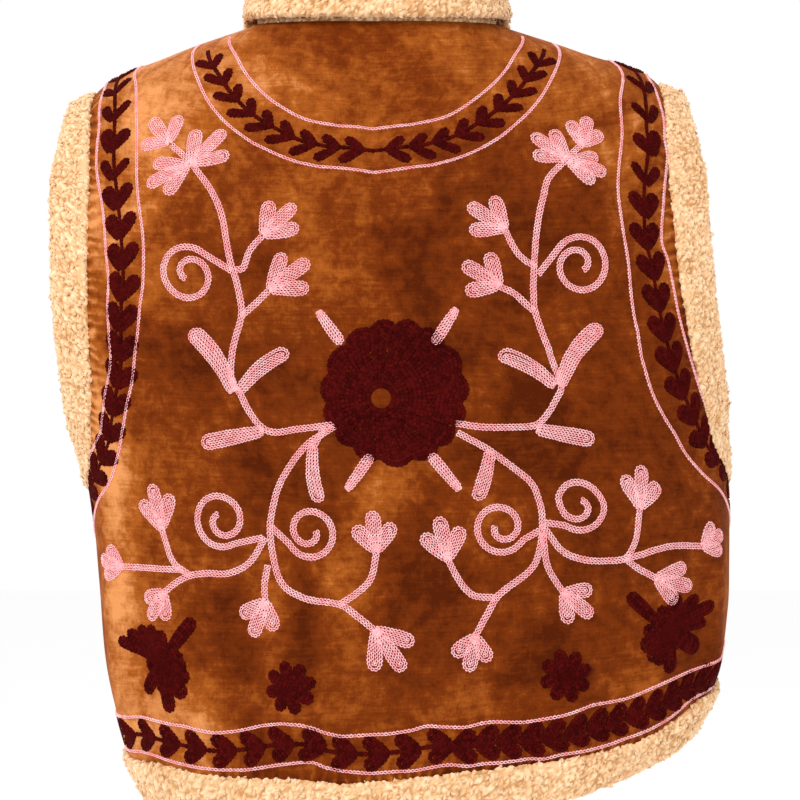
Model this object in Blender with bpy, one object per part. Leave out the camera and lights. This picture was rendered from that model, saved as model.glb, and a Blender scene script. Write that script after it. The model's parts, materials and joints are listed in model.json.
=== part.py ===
"""Velvet waistcoat with a curly pile collar and pile edge bands, in its hollow worn form.

Metres, +Z up. The origin is the middle of the neck opening, level with the neck points of
the shoulder seams. The fronts face -Y, and the garment's left side is +X. The back, the two
fronts, the collar and the five edge bands are separate solids, a seam gap apart.
"""

from collections import namedtuple

import bmesh
import bpy
import numpy as np

MM = 0.001

# Walls and bands
VELVET_THICK = 2.0 * MM
PILE_THICK = 9.0 * MM
COLLAR_THICK = 8.0 * MM
BAND_WIDTH = 36.0 * MM
BAND_EASE = 2.6 * MM
SEAM_GAP = 0.3 * MM

# Cut of the armholes, in from the side line along the cloth
ARMHOLE_BACK_LEFT = 102.0 * MM
ARMHOLE_BACK_RIGHT = 93.0 * MM
ARMHOLE_FRONT = 104.0 * MM
ARMHOLE_ROUNDNESS = 0.9
FLARE_AT_TIP = 19.0
FLARE_AT_UNDERARM = -2.0

# Front opening between the two front bands, half its width
OPENING_AT_NECK = 11.0 * MM
OPENING_AT_HEM = 26.0 * MM
BAND_BELOW_COLLAR = 7.0 * MM

# Colour, roughness and metallic value of the two cloths
VELVET = ("velvet", (0.235, 0.072, 0.016, 1.0), 0.75, 0.0)
PILE = ("pile", (0.760, 0.480, 0.250, 1.0), 0.95, 0.0)

# Rings of the form from hem to neck, in millimetres. Each is a rounded oblong about the
# middle: half width, depth to the back and to the front, height at the side, the centre
# back and the centre front, shift towards -X, rise of the -X side, and squareness.
Ring = namedtuple("Ring", "name side_x back_y front_y side_z back_z front_z lean rise square")
RINGS = [
    Ring("hem",      238, 140, 122, -578, -592, -588, 34, 24, 2.50),
    Ring("hip",      256, 140, 126, -516, -522, -520, 33, 15, 2.50),
    Ring("waist",    261, 136, 128, -450, -454, -452, 31,  8, 2.50),
    Ring("underarm", 264, 134, 130, -386, -388, -386, 27,  3, 2.50),
    Ring("chest",    268, 138, 130, -308, -318, -318, 15,  0, 2.50),
    Ring("blade",    270, 138, 122, -222, -240, -240,  5,  0, 2.45),
    Ring("yoke",     262, 126, 108, -128, -168, -172,  1,  1, 2.40),
    Ring("tip",      237, 104,  92,  -50, -104, -128,  0,  4, 2.30),
    Ring("shoulder", 172,  86,  82,  -20,  -52, -100,  0,  1, 2.20),
    Ring("neck",     100,  74,  80,    4,  -13,  -78,  0,  0, 2.10),
]
UNDERARM = 3
TIP = 7
NECK = len(RINGS) - 1

# Large folds as soft troughs (depth below zero) and ridges, in millimetres: start and end
# of the fold as across from the centre back and down from the neck, half width and depth.
Fold = namedtuple("Fold", "name across down across_end down_end width depth")
FOLDS = [
    Fold("centre crease",     2,   30,   -8, 250,  16, -4.0),
    Fold("yoke left",        40,   40,  110, 130,  20,  3.0),
    Fold("yoke right",      -45,   40, -120, 120,  20,  3.0),
    Fold("blade left",      150,  110,  225, 330,  30,  4.0),
    Fold("blade right",    -150,  110, -230, 330,  30,  4.0),
    Fold("waist right",     -60,  370, -265, 352,  16, -5.0),
    Fold("waist left",       70,  300,  220, 296,  15, -4.0),
    Fold("low ridge",       -30,  425,  -20, 545,  18,  4.5),
    Fold("low slant",       -35,  430, -260, 500,  18, -5.0),
    Fold("hem left",         85,  480,   95, 575,  16,  5.5),
    Fold("hem left hollow", 130,  500,  140, 575,  18, -4.5),
    Fold("hem right",      -120,  500, -110, 575,  18,  4.5),
    Fold("side left",       255,  400,  250, 570,  18,  5.0),
    Fold("side right",     -255,  420, -250, 570,  18,  5.0),
    Fold("front left one",  430,  180,  400, 520,  26,  5.0),
    Fold("front left two",  530,  240,  520, 560,  24, -5.0),
    Fold("front right one", -440, 190, -410, 540,  26,  5.0),
    Fold("front right two", -535, 250, -525, 560,  24, -5.0),
]

FOLD_END_POWER = 6

# Net on which the form is worked out, and the steps over which its slope is read
NET_LEVELS = 20 * NECK + 1
NET_AROUND = 361
SLOPE_LEVELS = 0.06
SLOPE_ACROSS = 3.0 * MM

# Rows and columns of the solids
ROWS_BODY = 9
ROWS_ARM = 12
ROWS_TOP = 5
BACK_COLUMNS = 38
FRONT_COLUMNS = 13
HEM_STEPS = 70
COLLAR_STEPS = 52

# Section of the collar in millimetres, from its seam up the stand, over the fold and down
# the fall: out from the seam and up, at the centre back, at the side and at the front.
CollarPoint = namedtuple("CollarPoint", "back_out back_up side_out side_up front_out front_up")
COLLAR_SECTION = [
    CollarPoint(-2.4, -1.0, -2.4, -1.0, -2.4, -1.0),
    CollarPoint(-5.5, 12.0, -5.5, 12.0, -4.2,  7.0),
    CollarPoint(-9.5, 26.0, -9.5, 26.0, -5.0, 14.0),
    CollarPoint(-11.0, 35.0, -11.0, 35.0, -5.5, 20.0),
    CollarPoint(-9.0, 41.0, -9.0, 41.0, -3.0, 25.0),
    CollarPoint(-3.5, 43.5, -3.5, 43.5,  2.5, 26.5),
    CollarPoint( 1.5, 40.0,  1.5, 40.0,  8.0, 23.5),
    CollarPoint( 4.5, 30.0,  4.5, 30.0, 11.0, 15.0),
    CollarPoint( 7.5, 17.0,  7.5, 17.0, 13.0,  4.0),
    CollarPoint(10.5,  1.5, 10.5,  4.5, 15.0, -9.0),
]
COLLAR_END_TAPER = 0.6
FALL_CLEARANCE = 1.5 * MM
FALL_POINTS = 3
SHOULDER_LEVELS = 0.6
SHOULDER_STEPS = 25

SHARP_ANGLE = 0.9


def through_rows(rows, level):
    """Smooth curve through the rows of a table, read at the levels asked for."""
    level = np.clip(np.atleast_1d(level).astype(float), 0, len(rows) - 1)
    first = np.minimum(np.floor(level).astype(int), len(rows) - 2)
    part = (level - first)[:, None]
    before = 2 * rows[0] - rows[1]
    after = 2 * rows[-1] - rows[-2]
    padded = np.vstack([before, rows, after])
    a, b, c, d = (padded[first + step] for step in range(4))
    curve = 2 * b + (c - a) * part
    curve += (2 * a - 5 * b + 4 * c - d) * part ** 2
    curve += (3 * b - a - 3 * c + d) * part ** 3
    return 0.5 * curve


def form_net():
    """Points of the form: one ring for each level, from centre front round to centre front."""
    table = np.array([ring[1:] for ring in RINGS], float)
    levels = np.linspace(0, NECK, NET_LEVELS)
    columns = through_rows(table, levels).T[:, :, None]
    side_x, back_y, front_y, side_z, back_z, front_z, lean, rise, square = columns
    angle = np.radians(np.linspace(-180, 180, NET_AROUND))[None, :]
    sine = np.sin(angle)
    cosine = np.cos(angle)
    to_middle = np.abs(cosine) ** (2 / square)
    x = side_x * np.sign(sine) * np.abs(sine) ** (2 / square)
    y = np.where(cosine > 0, back_y * to_middle, -front_y * to_middle)
    z = side_z + np.where(cosine > 0, back_z - side_z, front_z - side_z) * to_middle
    z = z - rise * x / side_x
    return np.stack([x - lean, y, z], -1) * MM


NET = form_net()
STEP_LENGTHS = np.linalg.norm(np.diff(NET, axis=1), axis=2)
AROUND = np.concatenate([np.zeros((NET_LEVELS, 1)), np.cumsum(STEP_LENGTHS, axis=1)], axis=1)
AROUND -= AROUND[:, [NET_AROUND // 2]]
SIDE_RIGHT = AROUND[:, NET_AROUND // 4]
SIDE_LEFT = AROUND[:, 3 * NET_AROUND // 4]
FRONT_RIGHT = AROUND[:, 0]
FRONT_LEFT = AROUND[:, -1]
CENTRE_BACK = NET[:, NET_AROUND // 2]
CENTRE_STEPS = np.linalg.norm(np.diff(CENTRE_BACK, axis=0), axis=1)
DOWN = np.concatenate([np.cumsum(CENTRE_STEPS[::-1])[::-1], [0.0]])


def at_level(values, level):
    """Reads one of the per-level lists at any level."""
    return np.interp(level, np.linspace(0, NECK, NET_LEVELS), values)


def even_net():
    """The form's points again, evenly spaced round each half ring."""
    share = np.linspace(-1, 1, NET_AROUND)
    rings = []
    for points, around in zip(NET, AROUND):
        target = np.where(share < 0, -share * around[0], share * around[-1])
        rings.append(np.stack([np.interp(target, around, points[:, k]) for k in range(3)], -1))
    return np.array(rings)


EVEN = even_net()


def form_point(level, across):
    """Point of the form at a level and a distance round from the centre back."""
    level, across = np.broadcast_arrays(np.asarray(level, float), np.asarray(across, float))
    half = np.where(across < 0, -at_level(FRONT_RIGHT, level), at_level(FRONT_LEFT, level))
    column = (across / half + 1) * (NET_AROUND - 1) / 2
    row = level * (NET_LEVELS - 1) / NECK
    i = np.clip(np.floor(row).astype(int), 0, NET_LEVELS - 2)
    j = np.clip(np.floor(column).astype(int), 0, NET_AROUND - 2)
    f = (row - i)[..., None]
    g = (column - j)[..., None]
    near = EVEN[i, j] * (1 - g) + EVEN[i, j + 1] * g
    far = EVEN[i + 1, j] * (1 - g) + EVEN[i + 1, j + 1] * g
    return near * (1 - f) + far * f


def form_normal(level, across):
    """Outward direction of the form there."""
    up = form_point(level + SLOPE_LEVELS, across) - form_point(level - SLOPE_LEVELS, across)
    left = form_point(level, across + SLOPE_ACROSS) - form_point(level, across - SLOPE_ACROSS)
    normal = np.cross(left, up)
    return -normal / np.linalg.norm(normal, axis=-1, keepdims=True)


def relief(level, across):
    """Height of the large folds above the form."""
    level, across = np.broadcast_arrays(np.asarray(level, float), np.asarray(across, float))
    x = across / MM
    y = at_level(DOWN, level) / MM
    height = np.zeros_like(x)
    for fold in FOLDS:
        along_x = fold.across_end - fold.across
        along_y = fold.down_end - fold.down
        length = np.hypot(along_x, along_y)
        place = ((x - fold.across) * along_x + (y - fold.down) * along_y) / length ** 2
        aside = ((x - fold.across) * along_y - (y - fold.down) * along_x) / length
        ends = 1 / (1 + (2 * place - 1) ** FOLD_END_POWER)
        height += fold.depth * np.exp(-(aside / fold.width) ** 2) * ends
    return height * MM


def cloth_point(level, across, lift=0.0):
    """Point of the velvet's outer face, folds included, moved out by lift."""
    raised = relief(level, across) + lift
    return form_point(level, across) + form_normal(level, across) * raised[..., None]


def armhole_cut(turn, depth):
    """Distance that the armhole cuts in at a turn from 0 at the underarm to pi at the tip."""
    return depth * np.abs(np.sin(turn)) ** ARMHOLE_ROUNDNESS


def armhole_turns():
    return np.linspace(0, np.pi, ROWS_ARM + 1)


def armhole_level(turn):
    return UNDERARM + (TIP - UNDERARM) * (1 - np.cos(turn)) / 2


def panel_levels():
    """Levels of a panel's rows, and the armhole's turn at each, which is 0 away from it."""
    low = np.linspace(0, UNDERARM, ROWS_BODY + 1)[:-1]
    turns = armhole_turns()
    top = np.linspace(TIP, NECK, ROWS_TOP + 1)[1:]
    levels = np.concatenate([low, armhole_level(turns), top])
    turn = np.concatenate([0 * low, turns, 0 * top])
    return levels, turn


def front_edge(level):
    """Distance of a front's velvet edge from the centre front."""
    share = level / NECK
    opening = OPENING_AT_HEM + (OPENING_AT_NECK - OPENING_AT_HEM) * share
    return opening + BAND_WIDTH


def back_net():
    """Levels and distances across for the back, from the right side to the left."""
    levels, turn = panel_levels()
    right = at_level(SIDE_RIGHT, levels) + armhole_cut(turn, ARMHOLE_BACK_RIGHT) + SEAM_GAP / 2
    left = at_level(SIDE_LEFT, levels) - armhole_cut(turn, ARMHOLE_BACK_LEFT) - SEAM_GAP / 2
    share = np.linspace(0, 1, BACK_COLUMNS + 1)
    across = right[:, None] + (left - right)[:, None] * share
    return np.repeat(levels[:, None], BACK_COLUMNS + 1, axis=1), across


def front_net(side):
    """Levels and distances across for a front, side +1 for the left one."""
    levels, turn = panel_levels()
    side_line = at_level(SIDE_LEFT if side > 0 else SIDE_RIGHT, levels)
    middle = at_level(FRONT_LEFT if side > 0 else FRONT_RIGHT, levels)
    start = side_line + side * (armhole_cut(turn, ARMHOLE_FRONT) + SEAM_GAP / 2)
    end = middle - side * front_edge(levels)
    share = np.linspace(0, 1, FRONT_COLUMNS + 1)
    across = start[:, None] + (end - start)[:, None] * share
    return np.repeat(levels[:, None], FRONT_COLUMNS + 1, axis=1), across


def make_material(finish):
    name, colour, roughness, metallic = finish
    material = bpy.data.materials.new(name)
    material.use_nodes = True
    shader = material.node_tree.nodes["Principled BSDF"]
    shader.inputs["Base Color"].default_value = colour
    shader.inputs["Roughness"].default_value = roughness
    shader.inputs["Metallic"].default_value = metallic
    material.diffuse_color = colour
    return material


def make_object(name, vertices, faces, finish):
    """One named solid with its own material and its faces pointing out."""
    mesh = bpy.data.meshes.new(name)
    mesh.from_pydata([tuple(vertex) for vertex in vertices], [], faces)
    shape = bmesh.new()
    shape.from_mesh(mesh)
    bmesh.ops.recalc_face_normals(shape, faces=shape.faces)
    shape.to_mesh(mesh)
    shape.free()
    mesh.materials.append(make_material(finish))
    mesh.shade_smooth()
    mesh.set_sharp_from_angle(angle=SHARP_ANGLE)
    item = bpy.data.objects.new(name, mesh)
    bpy.context.scene.collection.objects.link(item)
    return item


def make_wall(name, net, finish):
    """Closed velvet wall on a net of levels and distances across."""
    levels, across = net
    outer = cloth_point(levels, across)
    inner = cloth_point(levels, across, -VELVET_THICK)
    rows, columns = levels.shape
    count = rows * columns
    vertices = np.concatenate([outer.reshape(-1, 3), inner.reshape(-1, 3)])
    number = np.arange(count).reshape(rows, columns)
    faces = []
    for i in range(rows - 1):
        for j in range(columns - 1):
            a, b, c, d = number[i, j], number[i, j + 1], number[i + 1, j + 1], number[i + 1, j]
            faces.append((a, b, c, d))
            faces.append((d + count, c + count, b + count, a + count))
    rim = np.concatenate([number[0], number[1:, -1], number[-1, -2::-1], number[-2:0:-1, 0]])
    for a, b in zip(rim, np.roll(rim, -1)):
        faces.append((b, a, a + count, b + count))
    return make_object(name, vertices, [tuple(map(int, face)) for face in faces], finish)


def make_sweep(name, sections, closed, finish):
    """Solid swept through sections of the same number of points."""
    steps, corners = sections.shape[:2]
    number = np.arange(steps * corners).reshape(steps, corners)
    faces = []
    for i in range(steps if closed else steps - 1):
        here, there = number[i], number[(i + 1) % steps]
        for j in range(corners):
            k = (j + 1) % corners
            faces.append((here[j], here[k], there[k], there[j]))
    if not closed:
        faces.append(tuple(number[0][::-1]))
        faces.append(tuple(number[-1]))
    faces = [tuple(map(int, face)) for face in faces]
    return make_object(name, sections.reshape(-1, 3), faces, finish)


def band_outline(width):
    """Rounded section of a pile band: away from the seam, and out from the velvet's face."""
    middle = -VELVET_THICK / 2
    half = PILE_THICK / 2
    ease = BAND_EASE
    start = SEAM_GAP
    return np.array([
        (start, middle - half + ease),
        (start + ease, middle - half),
        (width - ease, middle - half),
        (width, middle - half + ease),
        (width, middle + half - ease),
        (width - ease, middle + half),
        (start + ease, middle + half),
        (start, middle + half - ease),
    ])


def unit(vectors):
    return vectors / np.linalg.norm(vectors, axis=-1, keepdims=True)


def band_sections(levels, across, closed, flare=0.0, turn=1):
    """Sections of a band along a seam; turn says on which hand of the seam it lies."""
    seam = cloth_point(levels, across)
    if closed:
        along = np.roll(seam, -1, axis=0) - np.roll(seam, 1, axis=0)
    else:
        along = np.gradient(seam, axis=0)
    normal = form_normal(levels, across)
    away = unit(np.cross(unit(along), normal)) * turn
    normal = unit(np.cross(away, unit(along))) * turn
    angle = np.radians(np.broadcast_to(flare, len(seam)))[:, None]
    flared = away * np.cos(angle) + normal * np.sin(angle)
    normal = normal * np.cos(angle) - away * np.sin(angle)
    return lay_outline(seam, flared, normal)


def lay_outline(seam, away, normal):
    """The band's outline set at each point of a seam."""
    outline = band_outline(BAND_WIDTH)
    out = outline[None, :, 0, None] * away[:, None]
    up = outline[None, :, 1, None] * normal[:, None]
    return seam[:, None] + out + up


def armhole_sections(side):
    """Sections of the pile band that lines an armhole, side +1 for the left one."""
    turns = armhole_turns()
    side_values = SIDE_LEFT if side > 0 else SIDE_RIGHT
    depth = ARMHOLE_BACK_LEFT if side > 0 else ARMHOLE_BACK_RIGHT
    levels = armhole_level(turns)
    middle = at_level(side_values, levels)
    back = middle - side * armhole_cut(turns, depth)
    front = middle + side * armhole_cut(turns, ARMHOLE_FRONT)
    levels = np.concatenate([levels, levels[-2:0:-1]])
    across = np.concatenate([back, front[-2:0:-1]])
    height = (levels - UNDERARM) / (TIP - UNDERARM)
    flare = FLARE_AT_UNDERARM + (FLARE_AT_TIP - FLARE_AT_UNDERARM) * height
    return band_sections(levels, across, True, flare, -side)


def hem_sections():
    """Sections of the band along the hem, from one front edge to the other."""
    start = FRONT_RIGHT[0] + OPENING_AT_HEM
    end = FRONT_LEFT[0] - OPENING_AT_HEM
    across = np.linspace(start, end, HEM_STEPS + 1)
    return band_sections(np.zeros_like(across), across, False, 0.0, -1)


def levels_spanned(distance, levels):
    """How many levels a distance up the centre front makes between two levels."""
    low, high = form_point(levels, at_level(FRONT_LEFT, levels))
    return distance * (levels[1] - levels[0]) / np.linalg.norm(high - low)


def front_sections(side):
    """Sections of the band down a front edge, from the hem to just under the collar."""
    levels, _ = panel_levels()
    levels[0] = levels_spanned(SEAM_GAP, levels[:2])
    levels[-1] -= levels_spanned(BAND_BELOW_COLLAR, levels[-2:])
    middle = at_level(FRONT_LEFT if side > 0 else FRONT_RIGHT, levels)
    across = middle - side * front_edge(levels)
    seam = cloth_point(levels, across)
    free_edge = cloth_point(levels, across + side * BAND_WIDTH)
    away = unit(free_edge - seam)
    along = unit(np.gradient(seam, axis=0))
    return lay_outline(seam, away, unit(np.cross(along, away)) * side)


def collar_midline(share):
    """Middle line of the collar's section, share 0 at the back, 1 at the side, 2 at the front."""
    table = np.array(COLLAR_SECTION)
    back, side, front = table[:, 0:2], table[:, 2:4], table[:, 4:6]
    if share < 1:
        ease = (1 - np.cos(np.pi * share)) / 2
        return (back + (side - back) * ease) * MM
    ease = (1 - np.cos(np.pi * (share - 1))) / 2
    return (side + (front - side) * ease) * MM


def collar_sections():
    """Sections of the turned-down collar round the neck seam."""
    start = FRONT_RIGHT[-1] + OPENING_AT_NECK
    end = FRONT_LEFT[-1] - OPENING_AT_NECK
    across = np.linspace(start, end, COLLAR_STEPS + 1)
    levels = np.full_like(across, NECK)
    edge = cloth_point(levels, across)
    inner = cloth_point(levels, across, -VELVET_THICK)
    along = unit(np.gradient(edge, axis=0))
    out = unit(np.cross((0.0, 0.0, 1.0), along))
    up = np.cross(along, out)
    half = COLLAR_THICK / 2
    sections = []
    for i, distance in enumerate(across):
        side = SIDE_LEFT[-1] if distance > 0 else -SIDE_RIGHT[-1]
        front = end if distance > 0 else -start
        reach = abs(distance)
        share = reach / side if reach < side else 1 + (reach - side) / (front - side)
        line = collar_midline(min(share, 2.0))
        seat = inner[i] - out[i] * SEAM_GAP
        line = clear_of_shoulder(line, levels[i], distance, seat, out[i], up[i], half)
        sections.append(thick_line(line, half, seat, out[i], up[i]))
    return np.array(sections)


def clear_of_shoulder(line, level, distance, seat, out, up, half):
    """Lifts the free edge of the fall where the shoulder would touch it."""
    below = np.linspace(0, SHOULDER_LEVELS, SHOULDER_STEPS)
    near = cloth_point(level - below, np.full(SHOULDER_STEPS, distance)) - seat
    surface_out = near @ out
    surface_up = near @ up
    order = np.argsort(surface_out)
    edge_out, edge_up = line[-1]
    floor = np.interp(edge_out + half, surface_out[order], surface_up[order])
    floor = max(floor, np.interp(edge_out - half, surface_out[order], surface_up[order]))
    lift = max(0.0, floor + half + FALL_CLEARANCE - edge_up)
    line = line.copy()
    for step in range(FALL_POINTS):
        line[-1 - step, 1] += lift * (FALL_POINTS - step) / FALL_POINTS
    return line


def thick_line(line, half, seat, out, up):
    """Closed section of even thickness about a middle line, with eased ends."""
    along = unit(np.gradient(line, axis=0))
    aside = np.stack([along[:, 1], -along[:, 0]], -1)
    taper = np.ones(len(line))
    taper[0] = COLLAR_END_TAPER
    taper[-1] = COLLAR_END_TAPER
    first = line + aside * half * taper[:, None]
    second = line - aside * half * taper[:, None]
    outline = np.concatenate([first, second[::-1]])
    return seat + outline[:, :1] * out + outline[:, 1:] * up


def clear_scene():
    for item in list(bpy.data.objects):
        bpy.data.objects.remove(item, do_unlink=True)


def main():
    clear_scene()
    make_wall("back", back_net(), VELVET)
    make_wall("front_left", front_net(1), VELVET)
    make_wall("front_right", front_net(-1), VELVET)
    make_sweep("armhole_band_left", armhole_sections(1), True, PILE)
    make_sweep("armhole_band_right", armhole_sections(-1), True, PILE)
    make_sweep("hem_band", hem_sections(), False, PILE)
    make_sweep("front_band_left", front_sections(1), False, PILE)
    make_sweep("front_band_right", front_sections(-1), False, PILE)
    make_sweep("collar", collar_sections(), False, PILE)


main()
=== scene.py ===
"""Velvet waistcoat with chain-stitch flowers, a curly pile collar and pile edge bands, as worn.

Metres, +Z up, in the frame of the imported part. The origin is the middle of the neck opening,
the fronts face -Y and the garment's left side is +X. The camera looks at the back.
"""

import json
from collections import namedtuple

import bmesh
import bpy
import numpy as np
from bpy.props import FloatProperty, FloatVectorProperty, IntProperty, PointerProperty
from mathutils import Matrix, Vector, noise

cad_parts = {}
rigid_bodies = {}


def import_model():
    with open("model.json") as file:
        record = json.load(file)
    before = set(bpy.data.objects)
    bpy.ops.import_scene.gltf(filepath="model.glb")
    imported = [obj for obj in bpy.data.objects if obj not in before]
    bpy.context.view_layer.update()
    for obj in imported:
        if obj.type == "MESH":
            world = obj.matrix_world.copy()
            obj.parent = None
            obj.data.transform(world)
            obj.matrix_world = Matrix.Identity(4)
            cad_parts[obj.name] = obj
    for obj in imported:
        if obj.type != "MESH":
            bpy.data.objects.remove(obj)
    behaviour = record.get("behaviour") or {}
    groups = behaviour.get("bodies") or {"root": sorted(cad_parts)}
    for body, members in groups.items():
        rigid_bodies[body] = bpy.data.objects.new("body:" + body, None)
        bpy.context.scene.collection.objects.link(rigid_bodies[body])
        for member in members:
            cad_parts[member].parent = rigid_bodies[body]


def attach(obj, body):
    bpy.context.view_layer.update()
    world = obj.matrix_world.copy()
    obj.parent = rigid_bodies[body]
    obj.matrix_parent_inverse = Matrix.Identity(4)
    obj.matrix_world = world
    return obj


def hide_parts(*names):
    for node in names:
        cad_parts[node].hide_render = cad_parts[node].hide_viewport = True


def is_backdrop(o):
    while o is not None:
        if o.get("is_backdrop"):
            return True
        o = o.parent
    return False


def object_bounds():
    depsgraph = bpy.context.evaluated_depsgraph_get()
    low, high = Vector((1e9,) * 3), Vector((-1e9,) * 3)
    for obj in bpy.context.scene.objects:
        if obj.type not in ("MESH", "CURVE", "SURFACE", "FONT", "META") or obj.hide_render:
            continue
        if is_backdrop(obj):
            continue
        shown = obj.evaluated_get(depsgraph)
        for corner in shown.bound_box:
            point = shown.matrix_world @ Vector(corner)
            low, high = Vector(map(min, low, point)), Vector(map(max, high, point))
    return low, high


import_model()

bl_info = {
    "name": "Embroidered velvet waistcoat",
    "version": (1, 0, 0),
    "blender": (4, 5, 0),
    "location": "3D View > Sidebar > Waistcoat",
    "description": "Builds the waistcoat's velvet, pile and chain-stitch embroidery",
    "category": "Object",
}

CAD_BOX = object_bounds()
BODY = "root"
MM = 0.001

# Walls and bands
VELVET_THICK = 2.0 * MM
PILE_THICK = 9.0 * MM
COLLAR_THICK = 8.0 * MM
BAND_WIDTH = 36.0 * MM
SEAM_GAP = 0.3 * MM
SIDE_SEAM_GAP = 0.04 * MM

# Cut of the armholes, in from the side line along the cloth
ARMHOLE_BACK_LEFT = 102.0 * MM
ARMHOLE_BACK_RIGHT = 93.0 * MM
ARMHOLE_FRONT = 104.0 * MM
ARMHOLE_ROUNDNESS = 0.9
FLARE_AT_TIP = 19.0
FLARE_AT_UNDERARM = -2.0

# Front opening between the two front bands, half its width
OPENING_AT_NECK = 11.0 * MM
OPENING_AT_HEM = 26.0 * MM
BAND_BELOW_COLLAR = 7.0 * MM

# Rings of the form from hem to neck, in millimetres. Each is a rounded oblong about the
# middle: half width, depth to the back and to the front, height at the side, the centre
# back and the centre front, shift towards -X, rise of the -X side, and squareness.
Ring = namedtuple("Ring", "name side_x back_y front_y side_z back_z front_z lean rise square")
RINGS = [
    Ring("hem",      238, 140, 122, -578, -592, -588, 34, 24, 2.50),
    Ring("hip",      256, 140, 126, -516, -522, -520, 33, 15, 2.50),
    Ring("waist",    261, 136, 128, -450, -454, -452, 31,  8, 2.50),
    Ring("underarm", 264, 134, 130, -386, -388, -386, 27,  3, 2.50),
    Ring("chest",    268, 138, 130, -308, -318, -318, 15,  0, 2.50),
    Ring("blade",    270, 138, 122, -222, -240, -240,  5,  0, 2.45),
    Ring("yoke",     262, 126, 108, -128, -168, -172,  1,  1, 2.40),
    Ring("tip",      237, 104,  92,  -50, -104, -128,  0,  4, 2.30),
    Ring("shoulder", 172,  86,  82,  -20,  -52, -100,  0,  1, 2.20),
    Ring("neck",     100,  74,  80,    4,  -13,  -78,  0,  0, 2.10),
]
UNDERARM = 3
TIP = 7
NECK = len(RINGS) - 1

# Folds as soft troughs (depth below zero) and ridges, in millimetres: start and end of the
# fold as across from the centre back and down from the neck, half width and depth.
Fold = namedtuple("Fold", "name across down across_end down_end width depth")
FOLDS = [
    Fold("centre crease",     2,   30,   -8, 250,  16, -4.0),
    Fold("yoke left",        40,   40,  110, 130,  20,  3.0),
    Fold("yoke right",      -45,   40, -120, 120,  20,  3.0),
    Fold("blade left",      150,  110,  225, 330,  30,  4.0),
    Fold("blade right",    -150,  110, -230, 330,  30,  4.0),
    Fold("waist right",     -60,  370, -265, 352,  16, -5.0),
    Fold("waist left",       70,  300,  220, 296,  15, -4.0),
    Fold("low ridge",       -30,  425,  -20, 545,  18,  4.5),
    Fold("low slant",       -35,  430, -260, 500,  18, -5.0),
    Fold("hem left",         85,  480,   95, 575,  16,  5.5),
    Fold("hem left hollow", 130,  500,  140, 575,  18, -4.5),
    Fold("hem right",      -120,  500, -110, 575,  18,  4.5),
    Fold("side left",       255,  400,  250, 570,  18,  5.0),
    Fold("side right",     -255,  420, -250, 570,  18,  5.0),
    Fold("front left one",  430,  180,  400, 520,  26,  5.0),
    Fold("front left two",  530,  240,  520, 560,  24, -5.0),
    Fold("front right one", -440, 190, -410, 540,  26,  5.0),
    Fold("front right two", -535, 250, -525, 560,  24, -5.0),
]

# Creases on top of the folds, which no seam follows
CREASES = [
    Fold("centre line high",     3,   60,    1, 150,   5, -1.6),
    Fold("centre line low",     -2,  150,   -9, 245,   4, -1.3),
    Fold("left of centre",      22,  150,   14, 262,   7,  1.4),
    Fold("right of centre",    -22,  165,  -30, 270,   6, -1.4),
    Fold("yoke pull left",      12,   60,   52, 150,   6, -1.3),
    Fold("yoke pull left two",  60,  130,   84, 215,   7, -1.6),
    Fold("yoke pull right",    -14,   62,  -48, 140,   6, -1.2),
    Fold("blade pull left",     90,   95,  122, 190,   8, -1.8),
    Fold("blade pull right",   -92,   90, -128, 180,   8, -1.6),
    Fold("right cross one",    -52,  237, -128, 240,   4, -1.9),
    Fold("right cross two",    -58,  276, -196, 280,   4, -1.7),
    Fold("right cross three", -120,  252, -205, 262,   6,  1.5),
    Fold("right cross four",   -90,  322, -210, 330,   6, -1.6),
    Fold("waist line right",   -36,  382, -120, 386,   4, -2.0),
    Fold("waist line far",    -128,  384, -232, 374,   4, -1.7),
    Fold("waist lip right",    -60,  394, -210, 394,   8,  1.8),
    Fold("waist line left",     66,  305,  160, 309,   4, -2.0),
    Fold("waist lip left",      72,  318,  186, 322,   7,  1.6),
    Fold("left cross low",      60,  356,  150, 366,   6, -1.6),
    Fold("left slant",          60,  246,  118, 330,   8, -1.8),
    Fold("left slant two",     150,  240,  176, 330,   8, -1.8),
    Fold("low left one",       165,  470,  186, 560,   7, -2.0),
    Fold("low left two",       137,  456,  117, 548,   6, -2.8),
    Fold("low left lip",       150,  462,  132, 540,   6,  1.6),
    Fold("low left three",      60,  500,   66, 580,   6, -2.0),
    Fold("low left four",      214,  430,  232, 560,   8, -2.2),
    Fold("low centre one",      26,  500,   24, 585,   5,  1.4),
    Fold("low centre two",     -16,  440,  -14, 560,   5,  1.8),
    Fold("low centre three",   -42,  450,  -52, 560,   7, -1.8),
    Fold("low right one",      -60,  470, -190, 520,   7,  1.8),
    Fold("low right two",     -150,  520, -160, 590,   7, -1.6),
    Fold("low right three",    -80,  530,  -84, 592,   6, -1.4),
    Fold("front left three",   480,  200,  470, 400,   9, -2.2),
    Fold("front left four",    380,  380,  370, 560,   9, -2.2),
    Fold("front left five",    450,  420,  460, 580,   8,  2.0),
    Fold("front left cross",   400,  330,  520, 345,   7, -2.0),
    Fold("front right three", -482,  210, -474, 420,   9, -2.2),
    Fold("front right four",  -384,  370, -372, 570,   9, -2.2),
    Fold("front right five",  -456,  430, -462, 584,   8,  2.0),
    Fold("front right cross", -395,  340, -515, 330,   7, -2.0),
]
FOLD_END_POWER = 6

# Net on which the form is worked out, and the steps over which its slope is read
NET_LEVELS = 20 * NECK + 1
NET_AROUND = 361
SLOPE_LEVELS = 0.06
SLOPE_ACROSS = 3.0 * MM
FINE_SLOPE = 1.5 * MM

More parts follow.
